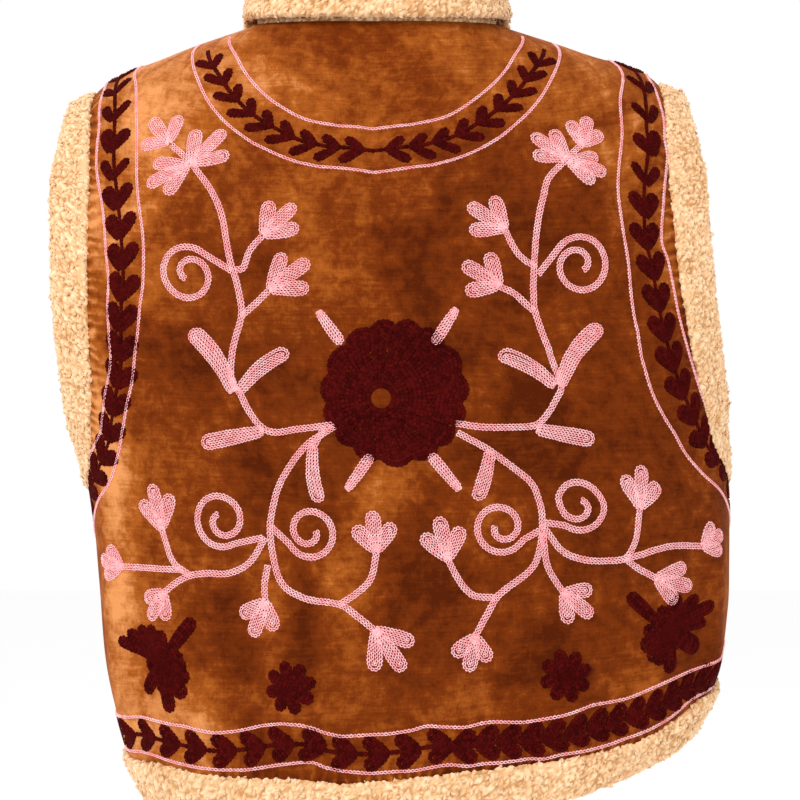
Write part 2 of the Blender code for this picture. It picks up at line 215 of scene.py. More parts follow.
# Rows and columns of the velvet
ROWS_BODY = 54
ROWS_ARM = 100
ROWS_TOP = 22
BACK_COLUMNS = 110
FRONT_COLUMNS = 30
TURNS_DENSE = 400
RIM_SHARPNESS = 1.0

# Section of the collar in millimetres, from its seam up the stand, over the fold and down
# the fall: out from the seam and up, at the centre back, at the side and at the front.
CollarPoint = namedtuple("CollarPoint", "back_out back_up side_out side_up front_out front_up")
COLLAR_SECTION = [
    CollarPoint(-2.4, -1.0, -2.4, -1.0, -2.4, -1.0),
    CollarPoint(-5.5, 12.0, -5.5, 12.0, -4.2,  7.0),
    CollarPoint(-9.5, 26.0, -9.5, 26.0, -5.0, 14.0),
    CollarPoint(-11.0, 35.0, -11.0, 35.0, -5.5, 20.0),
    CollarPoint(-9.0, 41.0, -9.0, 41.0, -3.0, 25.0),
    CollarPoint(-3.5, 43.5, -3.5, 43.5,  2.5, 26.5),
    CollarPoint( 1.5, 40.0,  1.5, 40.0,  8.0, 23.5),
    CollarPoint( 4.5, 30.0,  4.5, 30.0, 11.0, 15.0),
    CollarPoint( 7.5, 17.0,  7.5, 17.0, 13.0,  4.0),
    CollarPoint(10.5,  1.5, 10.5,  4.5, 15.0, -9.0),
]
FALL_CLEARANCE = 1.5 * MM
FALL_POINTS = 3
SHOULDER_LEVELS = 0.6
SHOULDER_STEPS = 25
COLLAR_MARKS = 44
COLLAR_BACKING_MARKS = 16
SECTION_STEPS = 12

# Hem band along the hem, from the right side to the left: turn inwards in degrees, lap over
# the velvet in millimetres and share of the full width
HEM_TURN = [(-420, 0), (-300, -18), (-200, -10), (-100, 0), (100, 0), (200, -10), (300, -16),
            (420, 0)]
HEM_LAP = [(-420, 0), (-300, 16), (-250, 19), (-235, 18), (-218, 11), (-193, 4), (-170, 0),
           (60, 0), (90, 6), (150, 8), (177, 11), (207, 14), (250, 11), (300, 6), (420, 0)]
HEM_SHARE = [(-420, 1), (-320, 0.80), (-250, 0.60), (-193, 0.65), (-118, 0.82), (-60, 1),
             (420, 1)]

# Share of its width that an armhole band loses at the shoulder's tip, and how far up the
# armhole, as a share of its height, this begins
TIP_NARROWING = 0.34
TIP_NARROWS_FROM = 0.83

# Steps of the pile along its bands, and the spacing of its points round a section
PILE_STEP = 1.9 * MM
PILE_FINE = 1.9 * MM
PILE_COARSE = 5.0 * MM
PILE_LIP = 0.9 * MM
PILE_SQUARENESS = 3.2
PILE_TURNS = 721
PILE_END_ROUND = 6.0 * MM
BLUNT_END = 0.03
BLUNT_EDGE = 0.02
BACKING_INSET = 1.2 * MM
BACKING_STEPS = 90
BACKING_EASE = 2.0 * MM
# Painted shade on the plain backing inside the pile
BACKING_PAINTED_SHADE = 0.4

# Curls of the pile, in widths of a curl: how far they wander, how far one reaches, how wide
# the gap between two is, and over how many of them the pile swells and sinks
CURL_NOISE_SEED = 5
CURL_WANDER = 0.8
CURL_REACH = 0.85
CURL_GAP = 0.35
CURLS_IN_A_SWELL = 7.0
WANDER_FINENESS = 0.6

# Weights, for a curl of height one, of its dome, its rim and the slow swell, how far it is
# sunk, and how light its foot is painted, as painted shade, when its top is one
DOME_WEIGHT = 0.8
RIM_WEIGHT = 0.7
SWELL_WEIGHT = 0.5
CURL_SUNK = 0.8
CURL_FOOT_SHADE = 0.35

# Loose tufts: rings of one (along, up, radius) and its tips for a length of one, its bend and
# its painted light, lighter towards its top (at the middle, and what each step adds), how far it
# leans in radians, its least and greatest scale, and how thickly the section's two parts bear it
TUFT_RINGS = ((-0.34, 0.00, 0.25), (0.0, 0.05, 0.31), (0.34, 0.00, 0.25))
TUFT_SIDES = 3
TUFT_HALF = 0.52
TUFT_TIP = (-0.12, -0.10)
TUFT_BEND = (0.22, 1.1)
TUFT_PAINTED_LIGHT = (0.35, 1.6)
TUFT_LEAN = 0.2
TUFT_SCALES = (0.75, 1.25)
OUTER_SHARE = 0.68
INNER_COVER = 0.3

# Cut sizes of the sheets in metres: width and length of the panels, length of the bands, and
# width of the collar
PANEL_CUTS = {"back": (0.66, 0.62), "front_left": (0.33, 0.62), "front_right": (0.33, 0.62)}
BAND_CUTS = {
    "armhole_band_left": 0.86, "armhole_band_right": 0.86, "hem_band": 1.25,
    "front_band_left": 0.52, "front_band_right": 0.52, "collar": 0.54,
}

# How much faster the puckers fade from the hem than from an armhole, points along a seam from
# which the velvet's distance is read, and how many points of the net are read at a time
HEM_PUCKERS = 1.7
ARM_SEAM_POINTS = 240
HEM_SEAM_POINTS = 500
POINTS_AT_A_TIME = 4000

# Nap of the velvet as painted sheen and shade: soft patches where it is painted light (above
# zero) or dark, in millimetres
SheenShadePatch = namedtuple("SheenShadePatch", "name across down reach_across reach_down light")
NAP_SHEEN_AND_SHADE = [
    SheenShadePatch("left shoulder",    190,   62,  60,  62,  1.10),
    SheenShadePatch("shoulder middle",  100,   66,  60,  50,  0.60),
    SheenShadePatch("left blade",       190,  175,  26,  70,  0.70),
    SheenShadePatch("left tip",         234,  150,  18,  80,  0.85),
    SheenShadePatch("left edge",        240,  315,  20,  80,  1.30),
    SheenShadePatch("left edge low",    240,  410,  22,  75,  0.60),
    SheenShadePatch("left middle",      110,  250,  45,  90, -0.80),
    SheenShadePatch("left of centre",    56,  175,  22,  90,  0.50),
    SheenShadePatch("left centre",       40,  310,  40,  50, -0.40),
    SheenShadePatch("yoke",              10,   90, 100,  40,  0.05),
    SheenShadePatch("centre high",      -10,  190,  50,  70, -0.45),
    SheenShadePatch("centre gleam",      12,  170,   8,  45,  0.50),
    SheenShadePatch("centre right",     -40,  250,  30,  80, -0.45),
    SheenShadePatch("right shoulder",  -205,   70,  26,  40,  0.80),
    SheenShadePatch("right edge high", -232,  200,  20,  60,  0.60),
    SheenShadePatch("right blade",     -120,  210,  60,  80, -0.75),
    SheenShadePatch("right middle",    -120,  330,  90,  70, -0.70),
    SheenShadePatch("right edge",      -225,  420,  35, 120, -0.45),
    SheenShadePatch("waist left",       120,  380,  70,  40, -0.45),
    SheenShadePatch("low left edge",    244,  520,  24, 100,  0.90),
    SheenShadePatch("hem left",         200,  545,  40,  25,  0.60),
    SheenShadePatch("low left",         150,  480,  45,  60, -0.40),
    SheenShadePatch("low left glow",    175,  565,  34,  45,  0.65),
    SheenShadePatch("low left ridge",   112,  470,  14,  42,  0.80),
    SheenShadePatch("low left hollow",   82,  475,  11,  50, -0.90),
    SheenShadePatch("under rosette",     20,  384,  24,  26,  0.50),
    SheenShadePatch("low centre",        10,  500,  50,  70, -0.50),
    SheenShadePatch("low ridge",         48,  485,  10,  36,  0.25),
    SheenShadePatch("low right",       -110,  480,  90,  70, -0.80),
    SheenShadePatch("low right gleam", -110,  540,  70,  12,  0.40),
]


def through_rows(rows, level):
    """Smooth curve through the rows of a table, read at the levels asked for."""
    level = np.clip(np.atleast_1d(level).astype(float), 0, len(rows) - 1)
    first = np.minimum(np.floor(level).astype(int), len(rows) - 2)
    part = (level - first)[:, None]
    before = 2 * rows[0] - rows[1]
    after = 2 * rows[-1] - rows[-2]
    padded = np.vstack([before, rows, after])
    a, b, c, d = (padded[first + step] for step in range(4))
    curve = 2 * b + (c - a) * part
    curve += (2 * a - 5 * b + 4 * c - d) * part ** 2
    curve += (3 * b - a - 3 * c + d) * part ** 3
    return 0.5 * curve


def form_net():
    """Points of the form: one ring for each level, from centre front round to centre front."""
    table = np.array([ring[1:] for ring in RINGS], float)
    levels = np.linspace(0, NECK, NET_LEVELS)
    columns = through_rows(table, levels).T[:, :, None]
    side_x, back_y, front_y, side_z, back_z, front_z, lean, rise, square = columns
    angle = np.radians(np.linspace(-180, 180, NET_AROUND))[None, :]
    sine = np.sin(angle)
    cosine = np.cos(angle)
    to_middle = np.abs(cosine) ** (2 / square)
    x = side_x * np.sign(sine) * np.abs(sine) ** (2 / square)
    y = np.where(cosine > 0, back_y * to_middle, -front_y * to_middle)
    z = side_z + np.where(cosine > 0, back_z - side_z, front_z - side_z) * to_middle
    z = z - rise * x / side_x
    return np.stack([x - lean, y, z], -1) * MM


NET = form_net()
STEP_LENGTHS = np.linalg.norm(np.diff(NET, axis=1), axis=2)
AROUND = np.concatenate([np.zeros((NET_LEVELS, 1)), np.cumsum(STEP_LENGTHS, axis=1)], axis=1)
AROUND -= AROUND[:, [NET_AROUND // 2]]
SIDE_RIGHT = AROUND[:, NET_AROUND // 4]
SIDE_LEFT = AROUND[:, 3 * NET_AROUND // 4]
FRONT_RIGHT = AROUND[:, 0]
FRONT_LEFT = AROUND[:, -1]
CENTRE_BACK = NET[:, NET_AROUND // 2]
CENTRE_STEPS = np.linalg.norm(np.diff(CENTRE_BACK, axis=0), axis=1)
DOWN = np.concatenate([np.cumsum(CENTRE_STEPS[::-1])[::-1], [0.0]])
NET_LEVEL_VALUES = np.linspace(0, NECK, NET_LEVELS)


def at_level(values, level):
    """Reads one of the per-level lists at any level."""
    return np.interp(level, NET_LEVEL_VALUES, values)


def level_at(down):
    """Level that lies a distance down from the neck along the centre back."""
    return np.interp(down, DOWN[::-1], NET_LEVEL_VALUES[::-1])


def even_net():
    """The form's points again, evenly spaced round each half ring."""
    share = np.linspace(-1, 1, NET_AROUND)
    rings = []
    for points, around in zip(NET, AROUND):
        target = np.where(share < 0, -share * around[0], share * around[-1])
        rings.append(np.stack([np.interp(target, around, points[:, k]) for k in range(3)], -1))
    return np.array(rings)


EVEN = even_net()


def form_point(level, across):
    """Point of the form at a level and a distance round from the centre back."""
    level, across = np.broadcast_arrays(np.asarray(level, float), np.asarray(across, float))
    half = np.where(across < 0, -at_level(FRONT_RIGHT, level), at_level(FRONT_LEFT, level))
    column = (across / half + 1) * (NET_AROUND - 1) / 2
    row = level * (NET_LEVELS - 1) / NECK
    i = np.clip(np.floor(row).astype(int), 0, NET_LEVELS - 2)
    j = np.clip(np.floor(column).astype(int), 0, NET_AROUND - 2)
    f = (row - i)[..., None]
    g = (column - j)[..., None]
    near = EVEN[i, j] * (1 - g) + EVEN[i, j + 1] * g
    far = EVEN[i + 1, j] * (1 - g) + EVEN[i + 1, j + 1] * g
    return near * (1 - f) + far * f


def form_normal(level, across):
    """Outward direction of the form there."""
    up = form_point(level + SLOPE_LEVELS, across) - form_point(level - SLOPE_LEVELS, across)
    left = form_point(level, across + SLOPE_ACROSS) - form_point(level, across - SLOPE_ACROSS)
    normal = np.cross(left, up)
    return -normal / np.linalg.norm(normal, axis=-1, keepdims=True)


def relief(level, across, folds):
    """Height of folds above the form."""
    level, across = np.broadcast_arrays(np.asarray(level, float), np.asarray(across, float))
    x = across / MM
    y = at_level(DOWN, level) / MM
    height = np.zeros_like(x)
    for fold in folds:
        along_x = fold.across_end - fold.across
        along_y = fold.down_end - fold.down
        length = np.hypot(along_x, along_y)
        place = ((x - fold.across) * along_x + (y - fold.down) * along_y) / length ** 2
        aside = ((x - fold.across) * along_y - (y - fold.down) * along_x) / length
        ends = 1 / (1 + (2 * place - 1) ** FOLD_END_POWER)
        height += fold.depth * np.exp(-(aside / fold.width) ** 2) * ends
    return height * MM


def cloth_point(level, across, lift=0.0, folds=FOLDS + CREASES):
    """Point of the velvet's outer face, folds and creases included, moved out by lift."""
    raised = relief(level, across, folds) + lift
    return form_point(level, across) + form_normal(level, across) * raised[..., None]


def seam_point(level, across, lift=0.0):
    """Point of a seam, which follows the large folds only."""
    return cloth_point(level, across, lift, FOLDS)


def cloth_normal(level, across):
    """Outward direction of the folded cloth."""
    rise = level_at(at_level(DOWN, level) - FINE_SLOPE) - level
    up = cloth_point(level + rise, across) - cloth_point(level, across)
    left = cloth_point(level, across + FINE_SLOPE) - cloth_point(level, across - FINE_SLOPE)
    return -unit(np.cross(left, up))


def unit(vectors):
    return vectors / np.linalg.norm(vectors, axis=-1, keepdims=True)


def armhole_cut(turn, depth):
    """Distance that the armhole cuts in at a turn from 0 at the underarm to pi at the tip."""
    return depth * np.abs(np.sin(turn)) ** ARMHOLE_ROUNDNESS


def armhole_level(turn):
    return UNDERARM + (TIP - UNDERARM) * (1 - np.cos(turn)) / 2


def armhole_seam(turns, side, front):
    """Levels and distances across of an armhole's edge, on the back or on the front."""
    levels = armhole_level(turns)
    middle = at_level(SIDE_LEFT if side > 0 else SIDE_RIGHT, levels)
    depth = ARMHOLE_FRONT if front else (ARMHOLE_BACK_LEFT if side > 0 else ARMHOLE_BACK_RIGHT)
    cut = side * armhole_cut(turns, depth)
    return levels, middle + cut if front else middle - cut


def even_turns(count):
    """Turns round half an armhole, the same distance apart along its edge."""
    turns = np.linspace(0, np.pi, TURNS_DENSE)
    across = armhole_cut(turns, ARMHOLE_BACK_LEFT)
    down = at_level(DOWN, armhole_level(turns))
    reach = path_lengths(np.stack([across, down], -1))
    return np.interp(np.linspace(0, reach[-1], count), reach, turns)


def path_lengths(points):
    """Distance along a path at each of its points."""
    steps = np.linalg.norm(np.diff(points, axis=0), axis=1)
    return np.concatenate([[0.0], np.cumsum(steps)])


def read_path(path, marks):
    """Places at distances along a flat path."""
    reach = path_lengths(path)
    return np.stack([np.interp(marks, reach, path[:, k]) for k in range(2)], -1)


def panel_levels():
    """Levels of a panel's rows, and the armhole's turn at each, which is 0 away from it."""
    low = np.linspace(0, UNDERARM, ROWS_BODY + 1)[:-1]
    turns = even_turns(ROWS_ARM + 1)
    top = np.linspace(TIP, NECK, ROWS_TOP + 1)[1:]
    levels = np.concatenate([low, armhole_level(turns), top])
    turn = np.concatenate([0 * low, turns, 0 * top])
    return levels, turn


def front_edge(level):
    """Distance of a front's velvet edge from the centre front."""
    share = level / NECK
    opening = OPENING_AT_HEM + (OPENING_AT_NECK - OPENING_AT_HEM) * share
    return opening + BAND_WIDTH


def back_net():
    """Levels and distances across for the back, from the right side to the left."""
    levels, turn = panel_levels()
    right = at_level(SIDE_RIGHT, levels) + armhole_cut(turn, ARMHOLE_BACK_RIGHT) + SIDE_SEAM_GAP / 2
    left = at_level(SIDE_LEFT, levels) - armhole_cut(turn, ARMHOLE_BACK_LEFT) - SIDE_SEAM_GAP / 2
    share = np.linspace(0, 1, BACK_COLUMNS + 1)
    across = right[:, None] + (left - right)[:, None] * share
    return np.repeat(levels[:, None], BACK_COLUMNS + 1, axis=1), across


def front_net(side):
    """Levels and distances across for a front, side +1 for the left one."""
    levels, turn = panel_levels()
    side_line = at_level(SIDE_LEFT if side > 0 else SIDE_RIGHT, levels)
    middle = at_level(FRONT_LEFT if side > 0 else FRONT_RIGHT, levels)
    start = side_line + side * (armhole_cut(turn, ARMHOLE_FRONT) + SIDE_SEAM_GAP / 2)
    end = middle - side * front_edge(levels)
    share = np.linspace(0, 1, FRONT_COLUMNS + 1)
    across = start[:, None] + (end - start)[:, None] * share
    return np.repeat(levels[:, None], FRONT_COLUMNS + 1, axis=1), across


# Meshes

def mesh_object(name, vertices, faces):
    """Smooth-shaded object at the origin."""
    mesh = bpy.data.meshes.new(name)
    mesh.from_pydata(vertices, [], faces)
    mesh.shade_smooth()
    item = bpy.data.objects.new(name, mesh)
    bpy.context.scene.collection.objects.link(item)
    return item


def grid_faces(rows, columns, closed_rows=False, closed_columns=False):
    """Four-sided faces between the points of a grid, counted row by row."""
    number = np.arange(rows * columns).reshape(rows, columns)
    if closed_rows:
        number = np.concatenate([number, number[:1]])
    if closed_columns:
        number = np.concatenate([number, number[:, :1]], axis=1)
    corners = [number[:-1, :-1], number[:-1, 1:], number[1:, 1:], number[1:, :-1]]
    return np.stack([corner.ravel() for corner in corners], -1)


def turn_outwards(item):
    """Turns the faces of a closed mesh outwards."""
    shape = bmesh.new()
    shape.from_mesh(item.data)
    bmesh.ops.recalc_face_normals(shape, faces=shape.faces)
    shape.to_mesh(item.data)
    shape.free()


def store(mesh, name, kind, values):
    """Keeps one value for each point of a mesh, for a material or a node tree to read."""
    attribute = mesh.attributes.new(name, kind, "POINT")
    field = "vector" if kind == "FLOAT_VECTOR" else "value"
    attribute.data.foreach_set(field, np.asarray(values, np.float32).ravel())


def store_map(mesh, name, places):
    """Keeps a UV map, from a place for each point."""
    corners = np.empty(len(mesh.loops), np.int32)
    mesh.loops.foreach_get("vertex_index", corners)
    layer = mesh.uv_layers.new(name=name)
    layer.data.foreach_set("uv", np.asarray(places, np.float32)[corners].ravel())


def plain_mesh(item):
    """Turns what an object's modifiers make into its own mesh, and removes them."""
    graph = bpy.context.evaluated_depsgraph_get()
    mesh = bpy.data.meshes.new_from_object(item.evaluated_get(graph), depsgraph=graph)
    item.modifiers.clear()
    before = item.data
    item.data = mesh
    mesh.name = item.name
    bpy.data.meshes.remove(before)
    return item


def finish_piece(item, material):
    """Gives a piece its material and its body."""
    item.data.materials.clear()
    item.data.materials.append(material)
    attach(item, BODY)
    return item


# Velvet panels

def seam_lines():
    """Both armhole edges and the hem on the flat net, as across and down."""
    turns = even_turns(ARM_SEAM_POINTS)
    lines = []
    for side in (1, -1):
        for front in (False, True):
            levels, across = armhole_seam(turns, side, front)
            lines.append(np.stack([across, at_level(DOWN, levels)], -1))
    across = np.linspace(FRONT_RIGHT[0], FRONT_LEFT[0], HEM_SEAM_POINTS)
    lines.append(np.stack([across, np.full_like(across, DOWN[0])], -1))
    return lines


def seam_map(across, down):
    """Distance along the nearest seam, and away from it, for each point of the net."""
    places = np.stack([across.ravel(), down.ravel()], -1)
    best = np.full(len(places), np.inf)
    along = np.zeros(len(places))
    *armholes, hem = seam_lines()
    for line, reach_share in [(line, 1.0) for line in armholes] + [(hem, HEM_PUCKERS)]:
        reach = path_lengths(line)
        for first in range(0, len(places), POINTS_AT_A_TIME):
            part = slice(first, first + POINTS_AT_A_TIME)
            gaps = np.linalg.norm(places[part, None] - line[None], axis=2)
            nearest = gaps.argmin(axis=1)
            gap = gaps[np.arange(len(gaps)), nearest] * reach_share
            closer = gap < best[part]
            best[part] = np.where(closer, gap, best[part])
            way = np.gradient(line, axis=0)[nearest]
            past = ((places[part] - line[nearest]) * unit(way)).sum(-1)
            along[part] = np.where(closer, reach[nearest] + past, along[part])
    return np.stack([along, best], -1)


def painted_nap_sheen_and_shade(across, down):
    """Painted sheen and shade of the velvet's nap, from the table of patches."""
    x = across / MM
    y = down / MM
    light = np.zeros_like(x)
    for patch in NAP_SHEEN_AND_SHADE:
        away = ((x - patch.across) / patch.reach_across) ** 2
        away = away + ((y - patch.down) / patch.reach_down) ** 2
        light += patch.light * np.exp(-away)
    return light


def make_panel(name, net):
    """Thin velvet shell on a net of levels and distances across."""
    levels, across = net
    outer = cloth_point(levels, across)
    inner = cloth_point(levels, across, -VELVET_THICK)
    rows, columns = levels.shape
    count = rows * columns
    faces = grid_faces(rows, columns)
    number = np.arange(count).reshape(rows, columns)
    rim = np.concatenate([number[0], number[1:, -1], number[-1, -2::-1], number[-2:0:-1, 0]])
    after = np.roll(rim, -1)
    edge = np.stack([after, rim, rim + count, after + count], -1)
    faces = np.concatenate([faces, faces[:, ::-1] + count, edge])
    vertices = np.concatenate([outer.reshape(-1, 3), inner.reshape(-1, 3)])
    item = mesh_object(name, vertices.tolist(), faces.tolist())
    turn_outwards(item)
    item.data.set_sharp_from_angle(angle=RIM_SHARPNESS)
    down = at_level(DOWN, levels)
    places = np.stack([across.ravel(), down.ravel()], -1)
    store_map(item.data, "cloth", np.tile(places, (2, 1)))
    store_map(item.data, "seam", np.tile(seam_map(across, down), (2, 1)))
    # Painted sheen and shade of the nap, kept for the velvet's material
    store(item.data, "nap", "FLOAT", np.tile(painted_nap_sheen_and_shade(across, down).ravel(), 2))
    return item


# Chain stitch: each motif is a few short rows of numbers in millimetres on the cloth, as
# across from the centre back, towards the left side, and down from the neck

# For each side, left (+1) and right (-1), with distances and headings outwards from the centre
Flower = namedtuple("Flower", "out down heading petal spread")
FLOWERS = {
    1: [
        Flower(161, 113,   50, 31, 50),
        Flower(142, 130,  -33, 38, 38),
        Flower(144, 131,  124, 36, 32),
        Flower( 85, 185,  -42, 34, 35),
        Flower( 82, 227,  -52, 37, 35),
        Flower(195, 407,   12, 36, 30),
        Flower(196, 453,  145, 27, 38),
        Flower(237, 436,   80, 26, 36),
        Flower(113, 458,  158, 29, 40),
        Flower( 28, 423,    4, 31, 37),
        Flower( 31, 480, -147, 38, 36),
    ],
    -1: [
        Flower(161, 120,   30, 29, 37),
        Flower(148, 129,  -45, 33, 34),
        Flower(149, 132,  113, 32, 28),
        Flower( 97, 181,  -53, 34, 38),
        Flower( 90, 224,  -58, 33, 41),
        Flower(175, 395,   14, 33, 35),
        Flower(187, 453,  107, 37, 29),
        Flower(234, 431,   72, 27, 34),
        Flower(112, 459,  132, 29, 44),
        Flower( 25, 430,  -10, 33, 35),
        Flower( 43, 488, -166, 27, 40),
    ],
}
PETAL_WIDTH = 12.0
SIDE_PETAL = 0.82
PETAL_STEPS = 24
PETAL_SWELLS_TO = 0.6
PETAL_SWELL_POWER = 0.75

Leaf = namedtuple("Leaf", "out down out_tip down_tip width bow")
LEAVES = {
    1: [
        Leaf( 47, 243,  29, 268,  8.8,  0.0),
        Leaf( 46, 377,  26, 350,  8.8,  0.0),
        Leaf(101, 333, 150, 343, 12.5,  0.0),
        Leaf(120, 304, 153, 257, 14.5, -4.0),
        Leaf(116, 304,  77, 272, 12.0,  3.0),
        Leaf( 65, 343,  60, 387, 11.0, -3.0),
    ],
    -1: [
        Leaf( 56, 241,  38, 268,  8.8,  0.0),
        Leaf( 38, 378,  16, 350,  8.8,  0.0),
        Leaf(104, 332, 150, 341, 12.5,  0.0),
        Leaf(127, 299, 159, 254, 14.5, -4.0),
        Leaf(123, 299,  80, 274, 12.5,  3.0),
        Leaf( 66, 348,  57, 386, 12.0, -1.0),
    ],
}
LEAF_ROOT = 0.6
PETAL_ROOT = 0.4
SLIM_ROOT = 0.28

STEMS = {
    1: [
        [(48, 328), (72, 331), (99, 332), (116, 304), (120, 294), (114, 270), (105, 246),
         (106, 225), (111, 205), (117, 171), (125, 151), (141, 130)],
        [(107, 212), (101, 211), (96, 198), (86, 186)],
        [(105, 247), (94, 238), (83, 228)],
        [(141, 130), (150, 122), (159, 115)],
        [(46, 329), (72, 345), (94, 370), (104, 392), (107, 412), (101, 443), (83, 456),
         (57, 461), (44, 470), (32, 480)],
        [(57, 461), (45, 454), (33, 443), (28, 424)],
        [(111, 412), (124, 430), (141, 438), (157, 438), (172, 440), (184, 445), (196, 453)],
        [(172, 440), (187, 430), (195, 408)],
        [(178, 436), (205, 436), (237, 436)],
        [(110, 432), (113, 446), (113, 458)],
        [(54, 330), (64, 343)],
    ],
    -1: [
        [(44, 327), (65, 330), (95, 330), (106, 328), (114, 321), (122, 310), (128, 300),
         (125, 286), (122, 272), (116, 250), (115, 235), (116, 220), (120, 190), (124, 171),
         (128, 157), (133, 143), (148, 130)],
        [(118, 210), (108, 203), (102, 194), (97, 182)],
        [(114, 243), (108, 237), (99, 229), (90, 225)],
        [(148, 130), (155, 124), (161, 120)],
        [(44, 334), (63, 346), (76, 357), (86, 366), (94, 375), (97, 389), (97, 408), (95, 421),
         (91, 435), (83, 444), (69, 453), (60, 460), (52, 473), (43, 488)],
        [(60, 460), (44, 458), (36, 451), (30, 441), (25, 430)],
        [(97, 405), (103, 415), (110, 425), (119, 431), (133, 435), (149, 436), (161, 435),
         (167, 428), (172, 416), (175, 396)],
        [(161, 435), (174, 433), (187, 430), (206, 428), (234, 431)],
        [(161, 435), (172, 444), (187, 453)],
        [(97, 412), (99, 433), (103, 444), (112, 459)],
    ],
}

# Curled stem ends: where they leave the stem, the curl's middle and radius, the heading at
# which it starts, how many turns it makes, and which way round
Curl = namedtuple("Curl", "out down middle_out middle_down radius start turns hand")
CURLS = {
    1: [
        Curl(110, 213, 144, 215, 19.5, -40, 1.55, 1),
        Curl(113, 412, 145, 400, 19.0, -150, 1.55, -1),
        Curl(106, 404,  77, 409, 17.5,  115, 1.50, 1),
    ],
    -1: [
        Curl(120, 216, 153, 209, 20.0, -40, 1.55, 1),
        Curl( 99, 404, 127, 392, 19.0, -140, 1.55, -1),
        Curl( 95, 410,  66, 408, 18.0,  120, 1.50, 1),
    ],
}
CURL_INNER = 4.0
CURL_TURN_IN = 0.66

# Yoke border: inner and outer line and the stem between them, from the centre back
YOKE_INNER = [(0, 93), (25, 92.5), (53, 88), (74, 77), (91, 62), (104, 47), (115, 32), (133, 16)]
YOKE_OUTER = [(0, 131), (26, 130), (53, 126), (74, 119), (94, 109), (114, 94), (131, 76),
              (146, 54), (159, 38), (174, 26)]
YOKE_STEM = [(0, 112), (26, 111.5), (53, 107), (74, 98), (94, 85), (112, 68), (126, 51), (146, 30)]
YOKE_LEAF_STEP = 18.3
YOKE_LEAF_OUTER = (22.5, 8.6)
YOKE_LEAF_INNER = (17.0, 8.6)
YOKE_LEAF_SPREAD = 34

# Armhole border: its lines and its hearts, in from the armhole's edge
ARM_LINE_NEAR = 14.0
ARM_LINE_FAR = 51.5
ARM_HEARTS = 33.0
ARM_HEART_STEP = 22.5
ARM_LEAF_PAIRS = 3
ARM_HEARTS_SHARE = 0.55
ARM_EDGE_POINTS = 200

# Its near and far line on the back of each side, outwards and down
ARM_LINES = {
    1: (
        [(256, 86), (237, 105), (233, 124), (231, 137), (227, 150), (221, 166), (217, 184),
         (215, 201), (212, 222), (214, 240), (215, 266), (217, 282), (226, 302), (237, 328),
         (252, 345)],
        [(242, 60), (208, 70), (194, 98), (189, 130), (187, 146), (184, 163), (179, 192),
         (180, 222), (184, 240), (190, 266), (201, 296), (213, 327), (230, 357), (246, 376),
         (264, 388)],
    ),
    -1: (
        [(266, 85), (255, 98), (252, 113), (247, 125), (247, 137), (240, 153), (235, 167),
         (228, 194), (233, 209), (236, 227), (239, 252), (246, 282), (256, 312), (270, 332),
         (298, 352)],
        [(236, 60), (206, 84), (199, 116), (192, 141), (189, 160), (190, 187), (192, 209),
         (192, 237), (194, 266), (198, 294), (203, 312), (212, 329), (228, 352), (245, 373),
         (272, 392)],
    ),
}

# Hem border: its upper and lower line from the left side to the right, and where the hearts
# of both sides meet
HEM_LINE_HIGH = [
    (420, 556), (317, 558), (262, 548), (221, 545), (196, 547), (176, 549), (156, 552), (139, 551),
    (120, 547), (102, 544), (88, 545), (77, 549), (70, 553), (60, 556), (47, 556), (18, 556),
    (5, 555), (-6, 552), (-20, 554), (-34, 556), (-47, 554), (-58, 554), (-80, 557), (-106, 554),
    (-130, 549), (-157, 550), (-183, 544), (-213, 538), (-250, 534), (-302, 530), (-420, 550),
]
HEM_LINE_LOW = [
    (420, 584), (302, 584), (262, 576), (231, 572), (215, 572), (192, 575), (170, 577), (151, 578),
    (132, 578), (113, 575), (101, 573), (87, 572), (78, 573), (70, 578), (56, 581), (37, 584),
    (22, 584), (3, 585), (-15, 583), (-24, 583), (-36, 586), (-46, 585), (-60, 586), (-83, 586),
    (-93, 588), (-107, 586), (-126, 587), (-144, 586), (-164, 584), (-185, 581), (-204, 576),
    (-224, 566), (-250, 562), (-302, 572), (-420, 584),
]
HEM_MEETING = -27
HEM_SMOOTHING = 4
HEM_LINE_INSET = 4
HEM_HEART_STEP_LEFT = 24.0
HEM_HEART_STEP_RIGHT = 17.0
HEM_HEART_SCALE = 0.88
HEART_LOBE = (24.0, 13.5)
HEART_SPREAD = 32
LEAF_PAIR_LOBE = (22.0, 9.5)
LEAF_PAIR_SPREAD = 38

# Rosette and the dark red flowers
ROSETTE = (-2, 304)
ROSETTE_RADIUS = 54.5
ROSETTE_HOLE = 8.0
ROSETTE_STARTS = (ROSETTE_HOLE, 36.0, 19.0, 36.0)
ROSETTE_HOLE_SHIFT = (10, 4)
ROSETTE_SCALLOPS = 15
ROSETTE_SCALLOP_DEPTH = 6.0
ROSETTE_ROWS = 132
ROSETTE_ROWS_INSET = 2.0
ROSETTE_RING_INSET = 0.6
SMALL_FLOWER = [(95, 519), (-110, 523)]
SMALL_FLOWER_PETALS = 8
SMALL_FLOWER_PETAL = (20.6, 10.5)
SMALL_FLOWER_TURN = 12

# Corner flowers, left and right: their middles, and each petal's heading, length and width
CORNER_FLOWERS = {
    (201, 503): [
        (-41, 46, 12.0), (2, 25, 14.0), (24, 31, 13.0), (42, 36, 11.0), (57, 41, 10.5),
        (71, 46, 10.0), (146, 31, 12.5), (-170, 40, 12.5), (-143, 34, 13.0), (-119, 28, 14.0),
        (-97, 23, 14.0), (-76, 21, 13.0), (100, 16, 16.0), (36, 29, 24.0), (-160, 28, 24.0),
    ],
    (-198, 498): [
        (46, 45, 12.0), (8, 20, 13.0), (-30, 30, 13.0), (-56, 41, 12.0), (-74, 52, 12.0),
        (-88, 42, 10.0), (-122, 35, 17.0), (176, 34, 13.0), (150, 29, 12.0), (132, 30, 13.0),
        (110, 30, 13.0), (86, 24, 12.5), (-68, 30, 24.0), (140, 25, 24.0), (-150, 17, 14.0),
    ],
}

